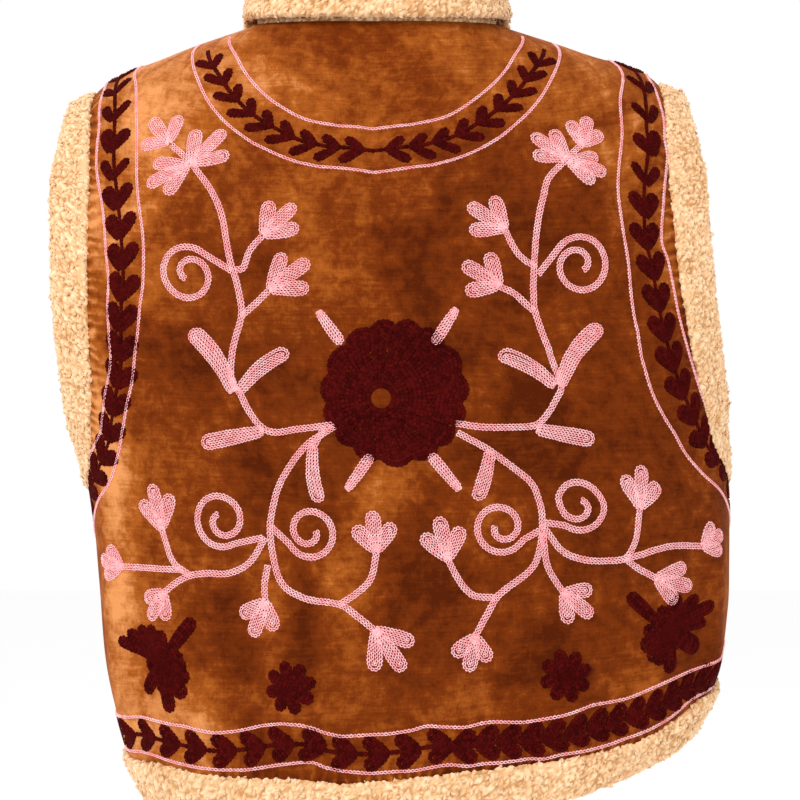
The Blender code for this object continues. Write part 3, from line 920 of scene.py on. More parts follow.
# Stitches: length and width of a link in lines, in stems and in filled shapes
Stitch = namedtuple("Stitch", "pitch width row")
STITCHES = {"pink": Stitch(2.7, 2.9, 2.7), "red": Stitch(3.3, 3.7, 2.6)}
LINE_PITCH = 2.9
LINE_WIDTH = 2.6
STEM_PITCH = 2.8
STEM_WIDTH = 2.7
STEM_ROWS = (-1.25, 1.25)
PATH_STEP = 1.5
PATH_STEPS_A_SPAN = 20
LEAST_STEP_SHARE = 0.6
TRUE_STEP = 2.0 * MM
WIDTHS_VARY = (0.90, 1.12)

StitchRow = namedtuple("StitchRow", "path pitch width thread group")

# What each point that stands for a link tells the stitches
LINK_FIELDS = {"along": "FLOAT_VECTOR", "out": "FLOAT_VECTOR", "length": "FLOAT", "width": "FLOAT"}

# Sections of a link's strands, aside and up, for a width and a height of one
OPEN_LINK = [
    [(0.57, -0.1), (0.31, 1.0), (0.02, 0.6)],
    [(-0.57, -0.1), (-0.02, 0.6), (-0.31, 1.0)],
]
LINK_INNER = 0.1
LINK_MIDDLE = 0.5
LINK_START = (-0.22, 0.0, 0.2)
LINK_END = (1.1, 0.0, 0.3)
LINK_FOOT = -0.1
LINK_RINGS = (-0.2, 1.28)
LINK_SWELL = (0.10, 0.84)
LINK_LOW_SHARE = 0.75
CLOSE_LINK = [[(0.55, -0.1), (0.30, 0.95), (0.0, 0.45), (-0.30, 0.95), (-0.55, -0.1)]]

# Both kinds of link: places of the sections along it, the strands, half width of the hole
# between them, and how slowly they taper
LinkKind = namedtuple("LinkKind", "rings strands hole taper")
LINK_KINDS = {
    "pink": LinkKind((0.22, LINK_MIDDLE, 0.78), OPEN_LINK, 0.15, 0.7),
    "red": LinkKind((0.24, 0.76), CLOSE_LINK, 0.0, 0.3),
}


def true_steps(across, down):
    """Turns true steps on the cloth, aside and up, into steps across and down."""
    level = level_at(np.asarray(down, float) * MM)
    across = np.asarray(across, float) * MM
    span = TRUE_STEP
    side = (form_point(level, across + span) - form_point(level, across - span)) / (2 * span)
    below = level_at(at_level(DOWN, level) + span)
    above = level_at(at_level(DOWN, level) - span)
    gap = at_level(DOWN, below) - at_level(DOWN, above)
    fall = (form_point(below, across) - form_point(above, across)) / np.asarray(gap)[..., None]
    side_length = np.linalg.norm(side, axis=-1)
    side_way = side / side_length[..., None]
    slant = (fall * side_way).sum(-1)
    drop = np.linalg.norm(fall - side_way * slant[..., None], axis=-1)
    return side_length, slant, drop


def lay_shape(centre, shape, heading=0.0):
    """Places a flat shape, drawn aside and up in millimetres, on the cloth."""
    turn = np.radians(heading)
    aside = shape[:, 0] * np.cos(turn) + shape[:, 1] * np.sin(turn)
    rise = shape[:, 1] * np.cos(turn) - shape[:, 0] * np.sin(turn)
    side_length, slant, drop = true_steps(*centre)
    down = -rise / drop
    across = (aside - down * slant) / side_length
    return np.stack([centre[0] + across, centre[1] + down], -1)


def smooth_path(points):
    """Smooth path through a few points."""
    points = np.array(points, float)
    spans = len(points) - 1
    dense = through_rows(points, np.linspace(0, spans, PATH_STEPS_A_SPAN * spans + 1))
    return even_path(dense, PATH_STEP)


def even_path(points, step):
    """The same path with its points a step apart."""
    length = path_lengths(points)[-1]
    return read_path(points, np.linspace(0, length, max(2, int(round(length / step)) + 1)))


def petal_loops(length, width, stitch, bow, root):
    """Nested loops of stitches that fill a petal or leaf standing on its root."""
    loops = []
    widest = (width - stitch.width) / 2
    count = max(1, int(np.ceil(widest / stitch.row + 0.2)))
    for k in range(count):
        offset = widest * (k + 0.5) / (count - 0.5) if count > 1 else widest
        end = length - stitch.width / 2 - (widest - offset)
        t = np.linspace(0, 1, PETAL_STEPS)
        swell = root + (1 - root) * np.clip(t / PETAL_SWELLS_TO, 0, 1) ** PETAL_SWELL_POWER
        tip = np.clip((t - 1) * end / max(offset, 1.0) + 1, 0, 1)
        half = swell * np.sqrt(1 - tip ** 2)
        half[0] = 0.4 * root
        half = half * offset
        rise = t * end
        bent = bow * np.sin(np.pi * t)
        right = np.stack([bent - half, rise], -1)
        left = np.stack([bent + half, rise], -1)[::-1]
        loops.append(np.concatenate([right, left[1:]]))
    return loops


def add_petal(rows, root, heading, length, width, thread, group, bow=0.0, root_width=SLIM_ROOT):
    """Adds the stitches of a petal or leaf with its root on the cloth."""
    stitch = STITCHES[thread]
    for loop in petal_loops(length, width, stitch, bow, root_width):
        path = lay_shape(root, even_path(loop, PATH_STEP), heading)
        rows.append(StitchRow(path, stitch.pitch, stitch.width, thread, group))


def red_row(path, group):
    """One row of dark red stitches."""
    stitch = STITCHES["red"]
    return StitchRow(path, stitch.pitch, stitch.width, "red", group)


def pink_line(path):
    """One row of pink stitches of a border."""
    return StitchRow(path, LINE_PITCH, LINE_WIDTH, "pink", "lines")


def add_stem(rows, path):
    """Adds a pink stem, two rows of stitches wide."""
    for aside in STEM_ROWS:
        row = tidy_path(beside(path, aside))
        rows.append(StitchRow(row, STEM_PITCH, STEM_WIDTH, "pink", "stems"))


def add_heart(rows, centre, heading, group, scale=1.0, leaves=False):
    """Adds a heart, or a pair of leaves, whose point looks along the heading."""
    length, width = LEAF_PAIR_LOBE if leaves else HEART_LOBE
    spread = LEAF_PAIR_SPREAD if leaves else HEART_SPREAD
    root = lay_shape(centre, np.array([[0.0, length * 0.5 * scale]]), heading)[0]
    for side in (-1, 1):
        way = heading + 180 + side * spread
        add_petal(rows, root, way, length * scale, width * scale, "red", group)


def heading_of(path):
    """Heading of a path at each of its points, from up towards the left side."""
    along = np.gradient(path, axis=0)
    return np.degrees(np.arctan2(along[:, 0], -along[:, 1]))


def walk(path, step, offset=0.5):
    """Places a step apart along a path, with the heading at each."""
    reach = path_lengths(path)
    marks = np.arange(offset * step, reach[-1] - 0.25 * step, step)
    way = np.unwrap(np.radians(heading_of(path)))
    return read_path(path, marks), np.degrees(np.interp(marks, reach, way))


def mirrored(points):
    return [(-across, down) for across, down in points]


def curl_path(curl):
    """Stem end that leaves its stem and winds in to the middle of the curl."""
    turns = np.linspace(0, 1, 40)
    wound_in = 1 / (1 + (turns / CURL_TURN_IN) ** 6)
    radius = CURL_INNER + (curl.radius - CURL_INNER) * wound_in
    way = np.radians(curl.start + curl.hand * 360 * curl.turns * turns)
    wound = np.stack([
        curl.middle_out + radius * np.sin(way),
        curl.middle_down - radius * np.cos(way),
    ], -1)
    return np.concatenate([smooth_path([(curl.out, curl.down), tuple(wound[0])])[:-1], wound])


def flower_rows():
    """Pink sprays on both sides of the back."""
    rows = []
    for side in (1, -1):
        for flower in FLOWERS[side]:
            root = (side * flower.out, flower.down)
            for k, share in ((-1, SIDE_PETAL), (0, 1.0), (1, SIDE_PETAL)):
                way = side * (flower.heading + k * flower.spread)
                add_petal(rows, root, way, flower.petal * share, PETAL_WIDTH, "pink", "flowers",
                          0.0, PETAL_ROOT)
        for leaf in LEAVES[side]:
            root = (side * leaf.out, leaf.down)
            reach = (side * (leaf.out_tip - leaf.out), leaf.down - leaf.down_tip)
            way = np.degrees(np.arctan2(*reach))
            length = np.hypot(*reach)
            add_petal(rows, root, way, length, leaf.width, "pink", "flowers", side * leaf.bow,
                      LEAF_ROOT)
        for stem in STEMS[side]:
            add_stem(rows, smooth_path(stem) * (side, 1))
        for curl in CURLS[side]:
            add_stem(rows, even_path(curl_path(curl), PATH_STEP) * (side, 1))
    return rows


def yoke_rows():
    """Border round the yoke: two pink lines and pairs of dark red leaves on a stem."""
    rows = []
    for line in (YOKE_INNER, YOKE_OUTER):
        rows.append(pink_line(smooth_path(mirrored(line[:0:-1]) + line)))
    for side in (1, -1):
        stem = smooth_path(YOKE_STEM) * (side, 1)
        rows.append(red_row(stem, "hearts"))
        places, ways = walk(stem, YOKE_LEAF_STEP)
        for place, way in zip(places, ways):
            for lean, leaf in ((side, YOKE_LEAF_OUTER), (-side, YOKE_LEAF_INNER)):
                heading = way + lean * YOKE_LEAF_SPREAD
                add_petal(rows, tuple(place), heading, *leaf, "red", "hearts")
    return rows


def beside(path, distance):
    """Path that runs a true distance beside another, to its left hand going along."""
    side_length, slant, drop = true_steps(path[:, 0], path[:, 1])
    along = np.gradient(path, axis=0)
    aside = along[:, 0] * side_length + along[:, 1] * slant
    fall = along[:, 1] * drop
    size = np.hypot(aside, fall)
    over_aside, over_fall = fall / size * distance, -aside / size * distance
    down = over_fall / drop
    across = (over_aside - down * slant) / side_length
    return path + np.stack([across, down], -1)


def armhole_edge(side, front):
    """Half of an armhole's edge from the tip down to the underarm, in millimetres."""
    levels, across = armhole_seam(even_turns(ARM_EDGE_POINTS)[::-1], side, front)
    return np.stack([across, at_level(DOWN, levels)], -1) / MM


def between(first, second, share):
    """Path that runs a share of the way from one path to another."""
    start, end = (read_path(path, np.linspace(0, path_lengths(path)[-1], len(first)))
                  for path in (first, second))
    return start + (end - start) * share


def armhole_rows():
    """Border round each armhole: two pink lines and dark red hearts that point down."""
    rows = []
    for side in (1, -1):
        for front in (False, True):
            edge = even_path(armhole_edge(side, front), PATH_STEP)
            hand = side if front else -side
            lines = [tidy_path(beside(edge, hand * distance))
                     for distance in (ARM_LINE_NEAR, ARM_LINE_FAR)]
            stem = tidy_path(beside(edge, hand * ARM_HEARTS))
            if not front:
                ends = [(tuple(line[0] * (side, 1)), tuple(line[-1] * (side, 1))) for line in lines]
                lines = [smooth_path([start, *table, end]) * (side, 1)
                         for (start, end), table in zip(ends, ARM_LINES[side])]
                stem = between(lines[1], lines[0], ARM_HEARTS_SHARE)
            rows += [pink_line(line) for line in lines]
            rows.append(red_row(stem, "hearts"))
            places, ways = walk(stem, ARM_HEART_STEP)
            for k, (place, way) in enumerate(zip(places, ways)):
                leaves = k < ARM_LEAF_PAIRS or k == ARM_LEAF_PAIRS + 1
                add_heart(rows, tuple(place), way, "hearts", 1.0, leaves)
    return rows


def tidy_path(path):
    """Leaves out points at which a path beside a tight bend turns back on itself."""
    kept = [path[0]]
    for point in path[1:]:
        if np.hypot(*(point - kept[-1])) > LEAST_STEP_SHARE * PATH_STEP:
            kept.append(point)
    return even_path(np.array(kept), PATH_STEP)


def hem_line(table, start, end):
    """Line of the hem border through the points of a table."""
    across = np.arange(start, end, PATH_STEP)
    down = np.interp(across, *np.array(table[::-1], float).T)
    ends = np.pad(down, HEM_SMOOTHING, mode="edge")
    window = np.hanning(2 * HEM_SMOOTHING + 1)
    return np.stack([across, np.convolve(ends, window / window.sum(), "valid")], -1)


def hem_rows():
    """Border above the hem, all round: two pink lines and hearts that point to the middle."""
    end = (FRONT_LEFT[0] - front_edge(0)) / MM - HEM_LINE_INSET
    start = (FRONT_RIGHT[0] + front_edge(0)) / MM + HEM_LINE_INSET
    high, low = (hem_line(table, start, end) for table in (HEM_LINE_HIGH, HEM_LINE_LOW))
    rows = [pink_line(line) for line in (high, low)]
    stem = (high + low) / 2
    rows.append(red_row(stem, "hearts"))
    left = stem[:, 0] > HEM_MEETING
    for half, step in ((stem[left], HEM_HEART_STEP_LEFT), (stem[~left][::-1], HEM_HEART_STEP_RIGHT)):
        places, ways = walk(half, step)
        for place, way in zip(places, ways):
            add_heart(rows, tuple(place), way + 180, "hearts", HEM_HEART_SCALE)
    return rows


def rosette_edge(angle):
    """Radius of the rosette's scalloped edge."""
    swing = np.abs(np.sin(ROSETTE_SCALLOPS * angle / 2 + 0.35 * np.sin(3 * angle)))
    return ROSETTE_RADIUS - ROSETTE_SCALLOP_DEPTH * (1 - swing ** 0.6)


def rosette_rows():
    """Large scalloped rosette filled with rows from its middle outwards."""
    rows = []
    middle = np.array(ROSETTE_HOLE_SHIFT, float)
    for k in range(ROSETTE_ROWS):
        angle = 2 * np.pi * k / ROSETTE_ROWS
        start = ROSETTE_STARTS[k % len(ROSETTE_STARTS)]
        way = np.array([np.sin(angle), np.cos(angle)])
        shift = 1 - np.clip((start - ROSETTE_HOLE) / ROSETTE_RADIUS, 0, 1)
        inner = way * start + middle * (1, -1) * shift
        outer = way * (rosette_edge(angle) - ROSETTE_ROWS_INSET)
        shape = even_path(np.array([inner, outer]), PATH_STEP)
        rows.append(red_row(lay_shape(ROSETTE, shape), "rosette"))
    angle = np.linspace(0, 2 * np.pi, 360)
    radius = rosette_edge(angle) - ROSETTE_RING_INSET
    ring = np.stack([radius * np.sin(angle), radius * np.cos(angle)], -1)
    rows.append(red_row(lay_shape(ROSETTE, even_path(ring, PATH_STEP)), "rosette"))
    return rows


def red_flower_rows():
    """Dark red flowers low on the back."""
    rows = []
    for centre in SMALL_FLOWER:
        for k in range(SMALL_FLOWER_PETALS):
            way = 360 * k / SMALL_FLOWER_PETALS + SMALL_FLOWER_TURN
            add_petal(rows, centre, way, *SMALL_FLOWER_PETAL, "red", "rosette")
    for centre, petals in CORNER_FLOWERS.items():
        for heading, length, width in petals:
            add_petal(rows, centre, heading, length, width, "red", "rosette")
    return rows


def work_out_links(rows, seed):
    """Every link of the rows: where it starts, its way, its size and its shade of thread."""
    bounds = np.cumsum([0] + [len(row.path) for row in rows])
    path = np.concatenate([row.path for row in rows]) * MM
    levels = level_at(path[:, 1])
    points = cloth_point(levels, path[:, 0])
    parts = []
    for k, row in enumerate(rows):
        here = slice(bounds[k], bounds[k + 1])
        reach = path_lengths(points[here])
        count = max(1, int(round(reach[-1] / (row.pitch * MM))))
        marks = np.linspace(0, reach[-1], count + 1)
        source = [points[here, 0], points[here, 1], points[here, 2], levels[here], path[here, 0]]
        stops = np.stack([np.interp(marks, reach, values) for values in source], -1)
        along = np.diff(stops[:, :3], axis=0)
        middle = (stops[1:, 3:] + stops[:-1, 3:]) / 2
        width = np.full(count, row.width * MM)
        parts.append(np.column_stack([stops[:-1, :3], along, middle, width]))
    table = np.concatenate(parts)
    random = np.random.default_rng(seed)
    length = np.linalg.norm(table[:, 3:6], axis=1)
    return {
        "start": table[:, 0:3],
        "along": table[:, 3:6] / length[:, None],
        "out": cloth_normal(table[:, 6], table[:, 7]),
        "level": table[:, 6],
        "across": table[:, 7],
        "length": length,
        "width": table[:, 8] * random.uniform(*WIDTHS_VARY, len(table)),
        "tint": random.uniform(0, 1, len(table)),
    }


def panel_of(level, across):
    """Panel on which a point lies: 0 for the back, +1 and -1 for the fronts."""
    left = across > at_level(SIDE_LEFT, level)
    right = across < at_level(SIDE_RIGHT, level)
    return left.astype(int) - right.astype(int)


def spindle_faces(first, sides, rings):
    """Faces of a spindle whose points start at a number: a tip, its rings and a tip."""
    faces = []
    last = first + 1 + rings * sides
    for j in range(sides):
        k = (j + 1) % sides
        faces.append((first, first + 1 + k, first + 1 + j))
        for ring in range(rings - 1):
            a = first + 1 + ring * sides
            faces.append((a + j, a + k, a + sides + k, a + sides + j))
        a = last - sides
        faces.append((a + j, a + k, last))
    return faces


def make_link(name, rings, strands, hole, taper):
    """One loop of chain stitch, one unit long, from the sections of its strands."""
    vertices = []
    faces = []
    for strand in strands:
        faces += spindle_faces(len(vertices), len(strand), len(rings))
        vertices.append(LINK_START)
        for t in rings:
            swell = np.sin(np.pi * (LINK_SWELL[0] + LINK_SWELL[1] * t)) ** taper
            for aside, rise in strand:
                inner = abs(aside) < LINK_INNER and rise > 0
                parted = hole * np.sign(aside) if inner and t == LINK_MIDDLE else 0.0
                rise_here = rise * (LINK_LOW_SHARE + (1 - LINK_LOW_SHARE) * t)
                low = LINK_FOOT if parted else rise_here
                vertices.append((LINK_RINGS[0] + LINK_RINGS[1] * t, aside * swell + parted, low))
        vertices.append(LINK_END)
    item = mesh_object(name, vertices, faces)
    turn_outwards(item)
    return item


def new_socket(tree, name, way, kind):
    return tree.interface.new_socket(name, in_out=way, socket_type="NodeSocket" + kind)


def geometry_tree(name, inputs, output):
    """Geometry node tree with named inputs and one output, and its two end nodes."""
    tree = bpy.data.node_groups.new(name, "GeometryNodeTree")
    for label, kind in inputs.items():
        new_socket(tree, label, "INPUT", kind)
    new_socket(tree, output, "OUTPUT", "Geometry")
    return tree, tree.nodes.new("NodeGroupInput"), tree.nodes.new("NodeGroupOutput")


def feed(tree, node, values):
    """Gives a node's inputs their plain values, or the sockets that feed them."""
    for entry, value in values.items():
        if isinstance(value, (int, float, tuple, str)):
            node.inputs[entry].default_value = value
        else:
            tree.links.new(value, node.inputs[entry])
    return node


def make_node(tree, kind, values=None, **settings):
    """A new node with its settings and what its inputs are fed."""
    node = tree.nodes.new(kind)
    for name, value in settings.items():
        setattr(node, name, value)
    return feed(tree, node, values or {})


def read_field(tree, name, kind):
    """What a geometry tree reads at each point under a name."""
    node = make_node(tree, "GeometryNodeInputNamedAttribute", {"Name": name}, data_type=kind)
    return node.outputs["Attribute"]


def realize(tree, parts, material, result, name):
    """Ends a geometry tree: makes its parts real and gives them their material."""
    real = make_node(tree, "GeometryNodeRealizeInstances", {"Geometry": parts})
    paint = make_node(tree, "GeometryNodeSetMaterial",
                      {"Geometry": real.outputs[0], "Material": material})
    feed(tree, result, {name: paint.outputs[0]})
    return tree


def stitch_tree():
    """Lays a link of chain stitch at every point, as long and wide as the point says."""
    inputs = {"Points": "Geometry", "Link": "Object", "Thread height": "Float", "Thread": "Material"}
    tree, given, result = geometry_tree("chain stitches", inputs, "Stitches")
    entry = given.outputs
    read = {name: read_field(tree, name, kind) for name, kind in LINK_FIELDS.items()}
    link = make_node(tree, "GeometryNodeObjectInfo", {"Object": entry["Link"]})
    turn = make_node(tree, "FunctionNodeAxesToRotation",
                     {"Primary Axis": read["along"], "Secondary Axis": read["out"]},
                     primary_axis="X", secondary_axis="Z")
    size = make_node(tree, "ShaderNodeCombineXYZ",
                     {"X": read["length"], "Y": read["width"], "Z": entry["Thread height"]})
    place = make_node(tree, "GeometryNodeInstanceOnPoints", {
        "Points": entry["Points"], "Instance": link.outputs["Geometry"],
        "Rotation": turn.outputs[0], "Scale": size.outputs[0]})
    return realize(tree, place.outputs[0], entry["Thread"], result, "Stitches")


def run_tree(item, tree, values):
    """Runs a node tree on an object with named inputs, and keeps what it makes."""
    modifier = item.modifiers.new(tree.name, "NODES")
    modifier.node_group = tree
    for socket in tree.interface.items_tree:
        if socket.in_out == "INPUT" and socket.name in values:
            modifier[socket.identifier] = values[socket.name]
    return plain_mesh(item)


def make_stitches(name, links, chosen, tree, link, height, material):
    """One piece of embroidery from the chosen links."""
    mesh = bpy.data.meshes.new(name)
    mesh.from_pydata(links["start"][chosen].tolist(), [], [])
    for field, kind in (*LINK_FIELDS.items(), ("tint", "FLOAT")):
        store(mesh, field, kind, links[field][chosen])
    item = bpy.data.objects.new(name, mesh)
    bpy.context.scene.collection.objects.link(item)
    run_tree(item, tree, {"Link": link, "Thread height": height, "Thread": material})
    for field in LINK_FIELDS:
        attribute = item.data.attributes.get(field)
        if attribute:
            item.data.attributes.remove(attribute)
    return finish_piece(item, material)


# Pile bands and collar

def pile_outline():
    """Full rounded section of a pile band: away from the seam, and out from the velvet."""
    start = -PILE_LIP
    half_width = (BAND_WIDTH - start) / 2
    half_thick = PILE_THICK / 2
    turn = np.linspace(0, 2 * np.pi, PILE_TURNS)
    power = 2 / PILE_SQUARENESS
    across = np.sign(-np.cos(turn)) * np.abs(np.cos(turn)) ** power * half_width
    rise = np.sign(np.sin(turn)) * np.abs(np.sin(turn)) ** power * half_thick
    points = np.stack([across + start + half_width, rise - VELVET_THICK / 2], -1)
    return spaced_loop(points)


def spaced_loop(points):
    """A closed section, finely spaced on its outer first half and coarsely on the rest."""
    half = len(points) // 2
    outer = even_path(points[:half + 1], PILE_FINE)
    inner = even_path(points[half:], PILE_COARSE)
    return np.concatenate([outer[:-1], inner[:-1]])


def backing_outline():
    """Plain section inside the pile."""
    middle = -VELVET_THICK / 2
    half = PILE_THICK / 2 - BACKING_INSET
    start = SEAM_GAP
    width = BAND_WIDTH - BACKING_INSET
    ease = BACKING_EASE
    return np.array([
        (start, middle - half + ease), (start + ease, middle - half), (width - ease, middle - half),
        (width, middle - half + ease), (width, middle + half - ease), (width - ease, middle + half),
        (start + ease, middle + half), (start, middle + half - ease),
    ])[::-1]


def lay_outline(seam, away, normal, outline, lap=0.0, share=1.0):
    """A band's outline set at each point of a seam, lapped over it and narrowed."""
    lap = np.broadcast_to(np.asarray(lap, float) * MM, len(seam))[:, None]
    share = np.broadcast_to(share, len(seam))[:, None]
    reach = outline[None, :, 0]
    reach = reach * share - lap * np.clip(1 - reach / BAND_WIDTH, 0, 1)
    out = reach[..., None] * away[:, None]
    up = outline[None, :, 1, None] * normal[:, None]
    return seam[:, None] + out + up


def band_frames(levels, across, closed, flare=0.0, turn=1):
    """Seam, direction away from it and outward direction all along a band."""
    seam = seam_point(levels, across)
    if closed:
        along = np.roll(seam, -1, axis=0) - np.roll(seam, 1, axis=0)
    else:
        along = np.gradient(seam, axis=0)
    normal = form_normal(levels, across)
    away = unit(np.cross(unit(along), normal)) * turn
    normal = unit(np.cross(away, unit(along))) * turn
    angle = np.radians(np.broadcast_to(flare, len(seam)))[:, None]
    flared = away * np.cos(angle) + normal * np.sin(angle)
    normal = normal * np.cos(angle) - away * np.sin(angle)
    return seam, flared, normal


def armhole_frames(side, steps):
    """Seam and directions of the band round an armhole, side +1 for the left one."""
    turns = even_turns(steps // 2 + 1)
    levels, back = armhole_seam(turns, side, False)
    _, front = armhole_seam(turns, side, True)
    levels = np.concatenate([levels, levels[-2:0:-1]])
    across = np.concatenate([back, front[-2:0:-1]])
    height = (levels - UNDERARM) / (TIP - UNDERARM)
    flare = FLARE_AT_UNDERARM + (FLARE_AT_TIP - FLARE_AT_UNDERARM) * height
    return band_frames(levels, across, True, flare, -side)


def hem_across(steps):
    """Distances across at even steps along the hem band."""
    return np.linspace(FRONT_RIGHT[0] + OPENING_AT_HEM, FRONT_LEFT[0] - OPENING_AT_HEM, steps + 1)


def hem_frames(steps):
    across = hem_across(steps)
    return band_frames(np.zeros_like(across), across, False, hem_profile(steps)[0], -1)


def armhole_profile(steps):
    """Lap and share of the width all along an armhole band, narrower at the shoulder's tip."""
    levels = armhole_level(even_turns(steps // 2 + 1))
    height = (levels - UNDERARM) / (TIP - UNDERARM)
    height = np.concatenate([height, height[-2:0:-1]])
    narrowed = np.clip((height - TIP_NARROWS_FROM) / (1 - TIP_NARROWS_FROM), 0, 1)
    return 0.0, 1 - TIP_NARROWING * narrowed


def hem_profile(steps):
    """Turn inwards, lap over the velvet and share of the width all along the hem band."""
    across = hem_across(steps) / MM
    return [np.interp(across, *np.array(table, float).T) for table in (HEM_TURN, HEM_LAP, HEM_SHARE)]


def levels_spanned(distance, levels):
    """How many levels a distance up the centre front makes between two levels."""
    low, high = form_point(levels, at_level(FRONT_LEFT, levels))
    return distance * (levels[1] - levels[0]) / np.linalg.norm(high - low)


def front_frames(side, steps):
    """Seam and directions of the band down a front edge, from the hem to the collar."""
    dense = np.linspace(0, NECK, 19)
    lowest = levels_spanned(SEAM_GAP, dense[:2])
    highest = NECK - levels_spanned(BAND_BELOW_COLLAR, dense[-2:])
    levels = np.linspace(lowest, highest, steps + 1)
    middle = at_level(FRONT_LEFT if side > 0 else FRONT_RIGHT, levels)
    across = middle - side * front_edge(levels)
    seam = seam_point(levels, across)
    free_edge = seam_point(levels, across + side * BAND_WIDTH)
    away = unit(free_edge - seam)
    along = unit(np.gradient(seam, axis=0))
    return seam, away, unit(np.cross(along, away)) * side


def collar_midline(share):
    """Middle line of the collar's section, share 0 at the back, 1 at the side, 2 at the front."""
    table = np.array(COLLAR_SECTION)
    back, side, front = table[:, 0:2], table[:, 2:4], table[:, 4:6]
    if share < 1:
        ease = (1 - np.cos(np.pi * share)) / 2
        return (back + (side - back) * ease) * MM
    ease = (1 - np.cos(np.pi * (share - 1))) / 2
    return (side + (front - side) * ease) * MM


def collar_lines(steps):
    """Middle line of the collar's section, its seat and its directions all along the neck."""
    start = FRONT_RIGHT[-1] + OPENING_AT_NECK
    end = FRONT_LEFT[-1] - OPENING_AT_NECK
    across = np.linspace(start, end, steps + 1)
    levels = np.full_like(across, NECK)
    edge = seam_point(levels, across)
    inner = seam_point(levels, across, -VELVET_THICK)
    along = unit(np.gradient(edge, axis=0))
    out = unit(np.cross((0.0, 0.0, 1.0), along))
    up = np.cross(along, out)
    half = COLLAR_THICK / 2
    for i, distance in enumerate(across):
        side = SIDE_LEFT[-1] if distance > 0 else -SIDE_RIGHT[-1]
        front = end if distance > 0 else -start
        reach = abs(distance)
        share = reach / side if reach < side else 1 + (reach - side) / (front - side)
        line = collar_midline(min(share, 2.0))
        seat = inner[i] - out[i] * SEAM_GAP
        line = clear_of_shoulder(line, levels[i], distance, seat, out[i], up[i], half)
        yield line, seat, out[i], up[i]


def clear_of_shoulder(line, level, distance, seat, out, up, half):
    """Lifts the free edge of the fall where the shoulder would touch it."""
    below = np.linspace(0, SHOULDER_LEVELS, SHOULDER_STEPS)
    near = seam_point(level - below, np.full(SHOULDER_STEPS, distance)) - seat
    surface_out = near @ out
    surface_up = near @ up
    order = np.argsort(surface_out)
    edge_out, edge_up = line[-1]
    floor = np.interp(edge_out + half, surface_out[order], surface_up[order])
    floor = max(floor, np.interp(edge_out - half, surface_out[order], surface_up[order]))
    lift = max(0.0, floor + half + FALL_CLEARANCE - edge_up)
    line = line.copy()
    for step in range(FALL_POINTS):
        line[-1 - step, 1] += lift * (FALL_POINTS - step) / FALL_POINTS
    return line


def collar_sections(steps, half, fine):
    """Closed sections of the collar about its middle line, with round ends."""
    sections = []
    for line, seat, out, up in collar_lines(steps):
        spans = len(line) - 1
        dense = through_rows(line, np.linspace(0, spans, SECTION_STEPS * spans + 1))
        middle = even_path(dense, fine)
        count = COLLAR_MARKS if fine == PILE_FINE else COLLAR_BACKING_MARKS
        marks = np.linspace(0, path_lengths(middle)[-1], count)
        middle = read_path(middle, marks)
        way = unit(np.gradient(middle, axis=0))
        aside = np.stack([way[:, 1], -way[:, 0]], -1)
        round_end = rounding(marks, half, BLUNT_EDGE)
        outline = np.concatenate([
            middle - aside * half * round_end[:, None],
            (middle + aside * half * round_end[:, None])[::-1][1:-1],
        ])
        sections.append(seat + outline[:, :1] * out + outline[:, 1:] * up)
    return np.array(sections)


def rounding(marks, radius, blunt):
    """Share of the full size at marks along a line whose two ends are round, never below blunt."""
    from_end = np.minimum(marks, marks[-1] - marks)
    return np.sqrt(np.clip(1 - (1 - np.minimum(from_end / radius, 1)) ** 2, blunt, 1))


def round_ends(sections, length):
    """Draws the sections in towards their middle near both ends of an open band."""
    middle = sections.mean(axis=1)
    scale = rounding(path_lengths(middle), length, BLUNT_END)
    return middle[:, None] + (sections - middle[:, None]) * scale[:, None, None]


def sweep_mesh(name, sections, closed):
    """Closed skin through sections of the same number of points."""
    steps, corners = sections.shape[:2]
    faces = grid_faces(steps, corners, closed, True).tolist()
    if not closed:
        first = [list(range(corners))[::-1]]
        last = [list(range((steps - 1) * corners, steps * corners))]
        faces = faces + first + last
    item = mesh_object(name, sections.reshape(-1, 3).tolist(), faces)
    turn_outwards(item)
    return item


def point_normals(mesh):
    normals = np.empty(3 * len(mesh.vertices), np.float32)
    mesh.vertex_normals.foreach_get("vector", normals)
    return normals.reshape(-1, 3).astype(float)


def points_of(mesh):
    points = np.empty(3 * len(mesh.vertices), np.float32)
    mesh.vertices.foreach_get("co", points)
    return points.reshape(-1, 3).astype(float)


def curl_pile(item, sizes):
    """Raises the pile's curls on a smooth skin, and keeps a painted shade for each point: dark in the
    gaps and at the curls' feet, light on their tops.
    """
    mesh = item.data
    points = points_of(mesh)
    normals = point_normals(mesh)
    cell = sizes.curl_size
    noise.seed_set(CURL_NOISE_SEED)
    height = np.empty(len(points))
    crest = np.empty(len(points))
    for i, point in enumerate(points):
        place = Vector(point / cell)
        place += CURL_WANDER * noise.noise_vector(place * WANDER_FINENESS)
        distances, _ = noise.voronoi(place)
        dome = max(0.0, 1.0 - (distances[0] / CURL_REACH) ** 2)
        gap = min(1.0, (distances[1] - distances[0]) / CURL_GAP)
        slow = noise.noise(Vector(point / (CURLS_IN_A_SWELL * cell)))
        # Painted shade: dark in the gaps between curls and at their feet
        crest[i] = gap * (CURL_FOOT_SHADE + (1 - CURL_FOOT_SHADE) * dome)
        raised = DOME_WEIGHT * dome + RIM_WEIGHT * gap - CURL_SUNK + SWELL_WEIGHT * slow
        height[i] = sizes.curl_height * raised
    moved = points + normals * height[:, None]
    mesh.vertices.foreach_set("co", moved.astype(np.float32).ravel())
    mesh.update()
    store(mesh, "crest", "FLOAT", crest)


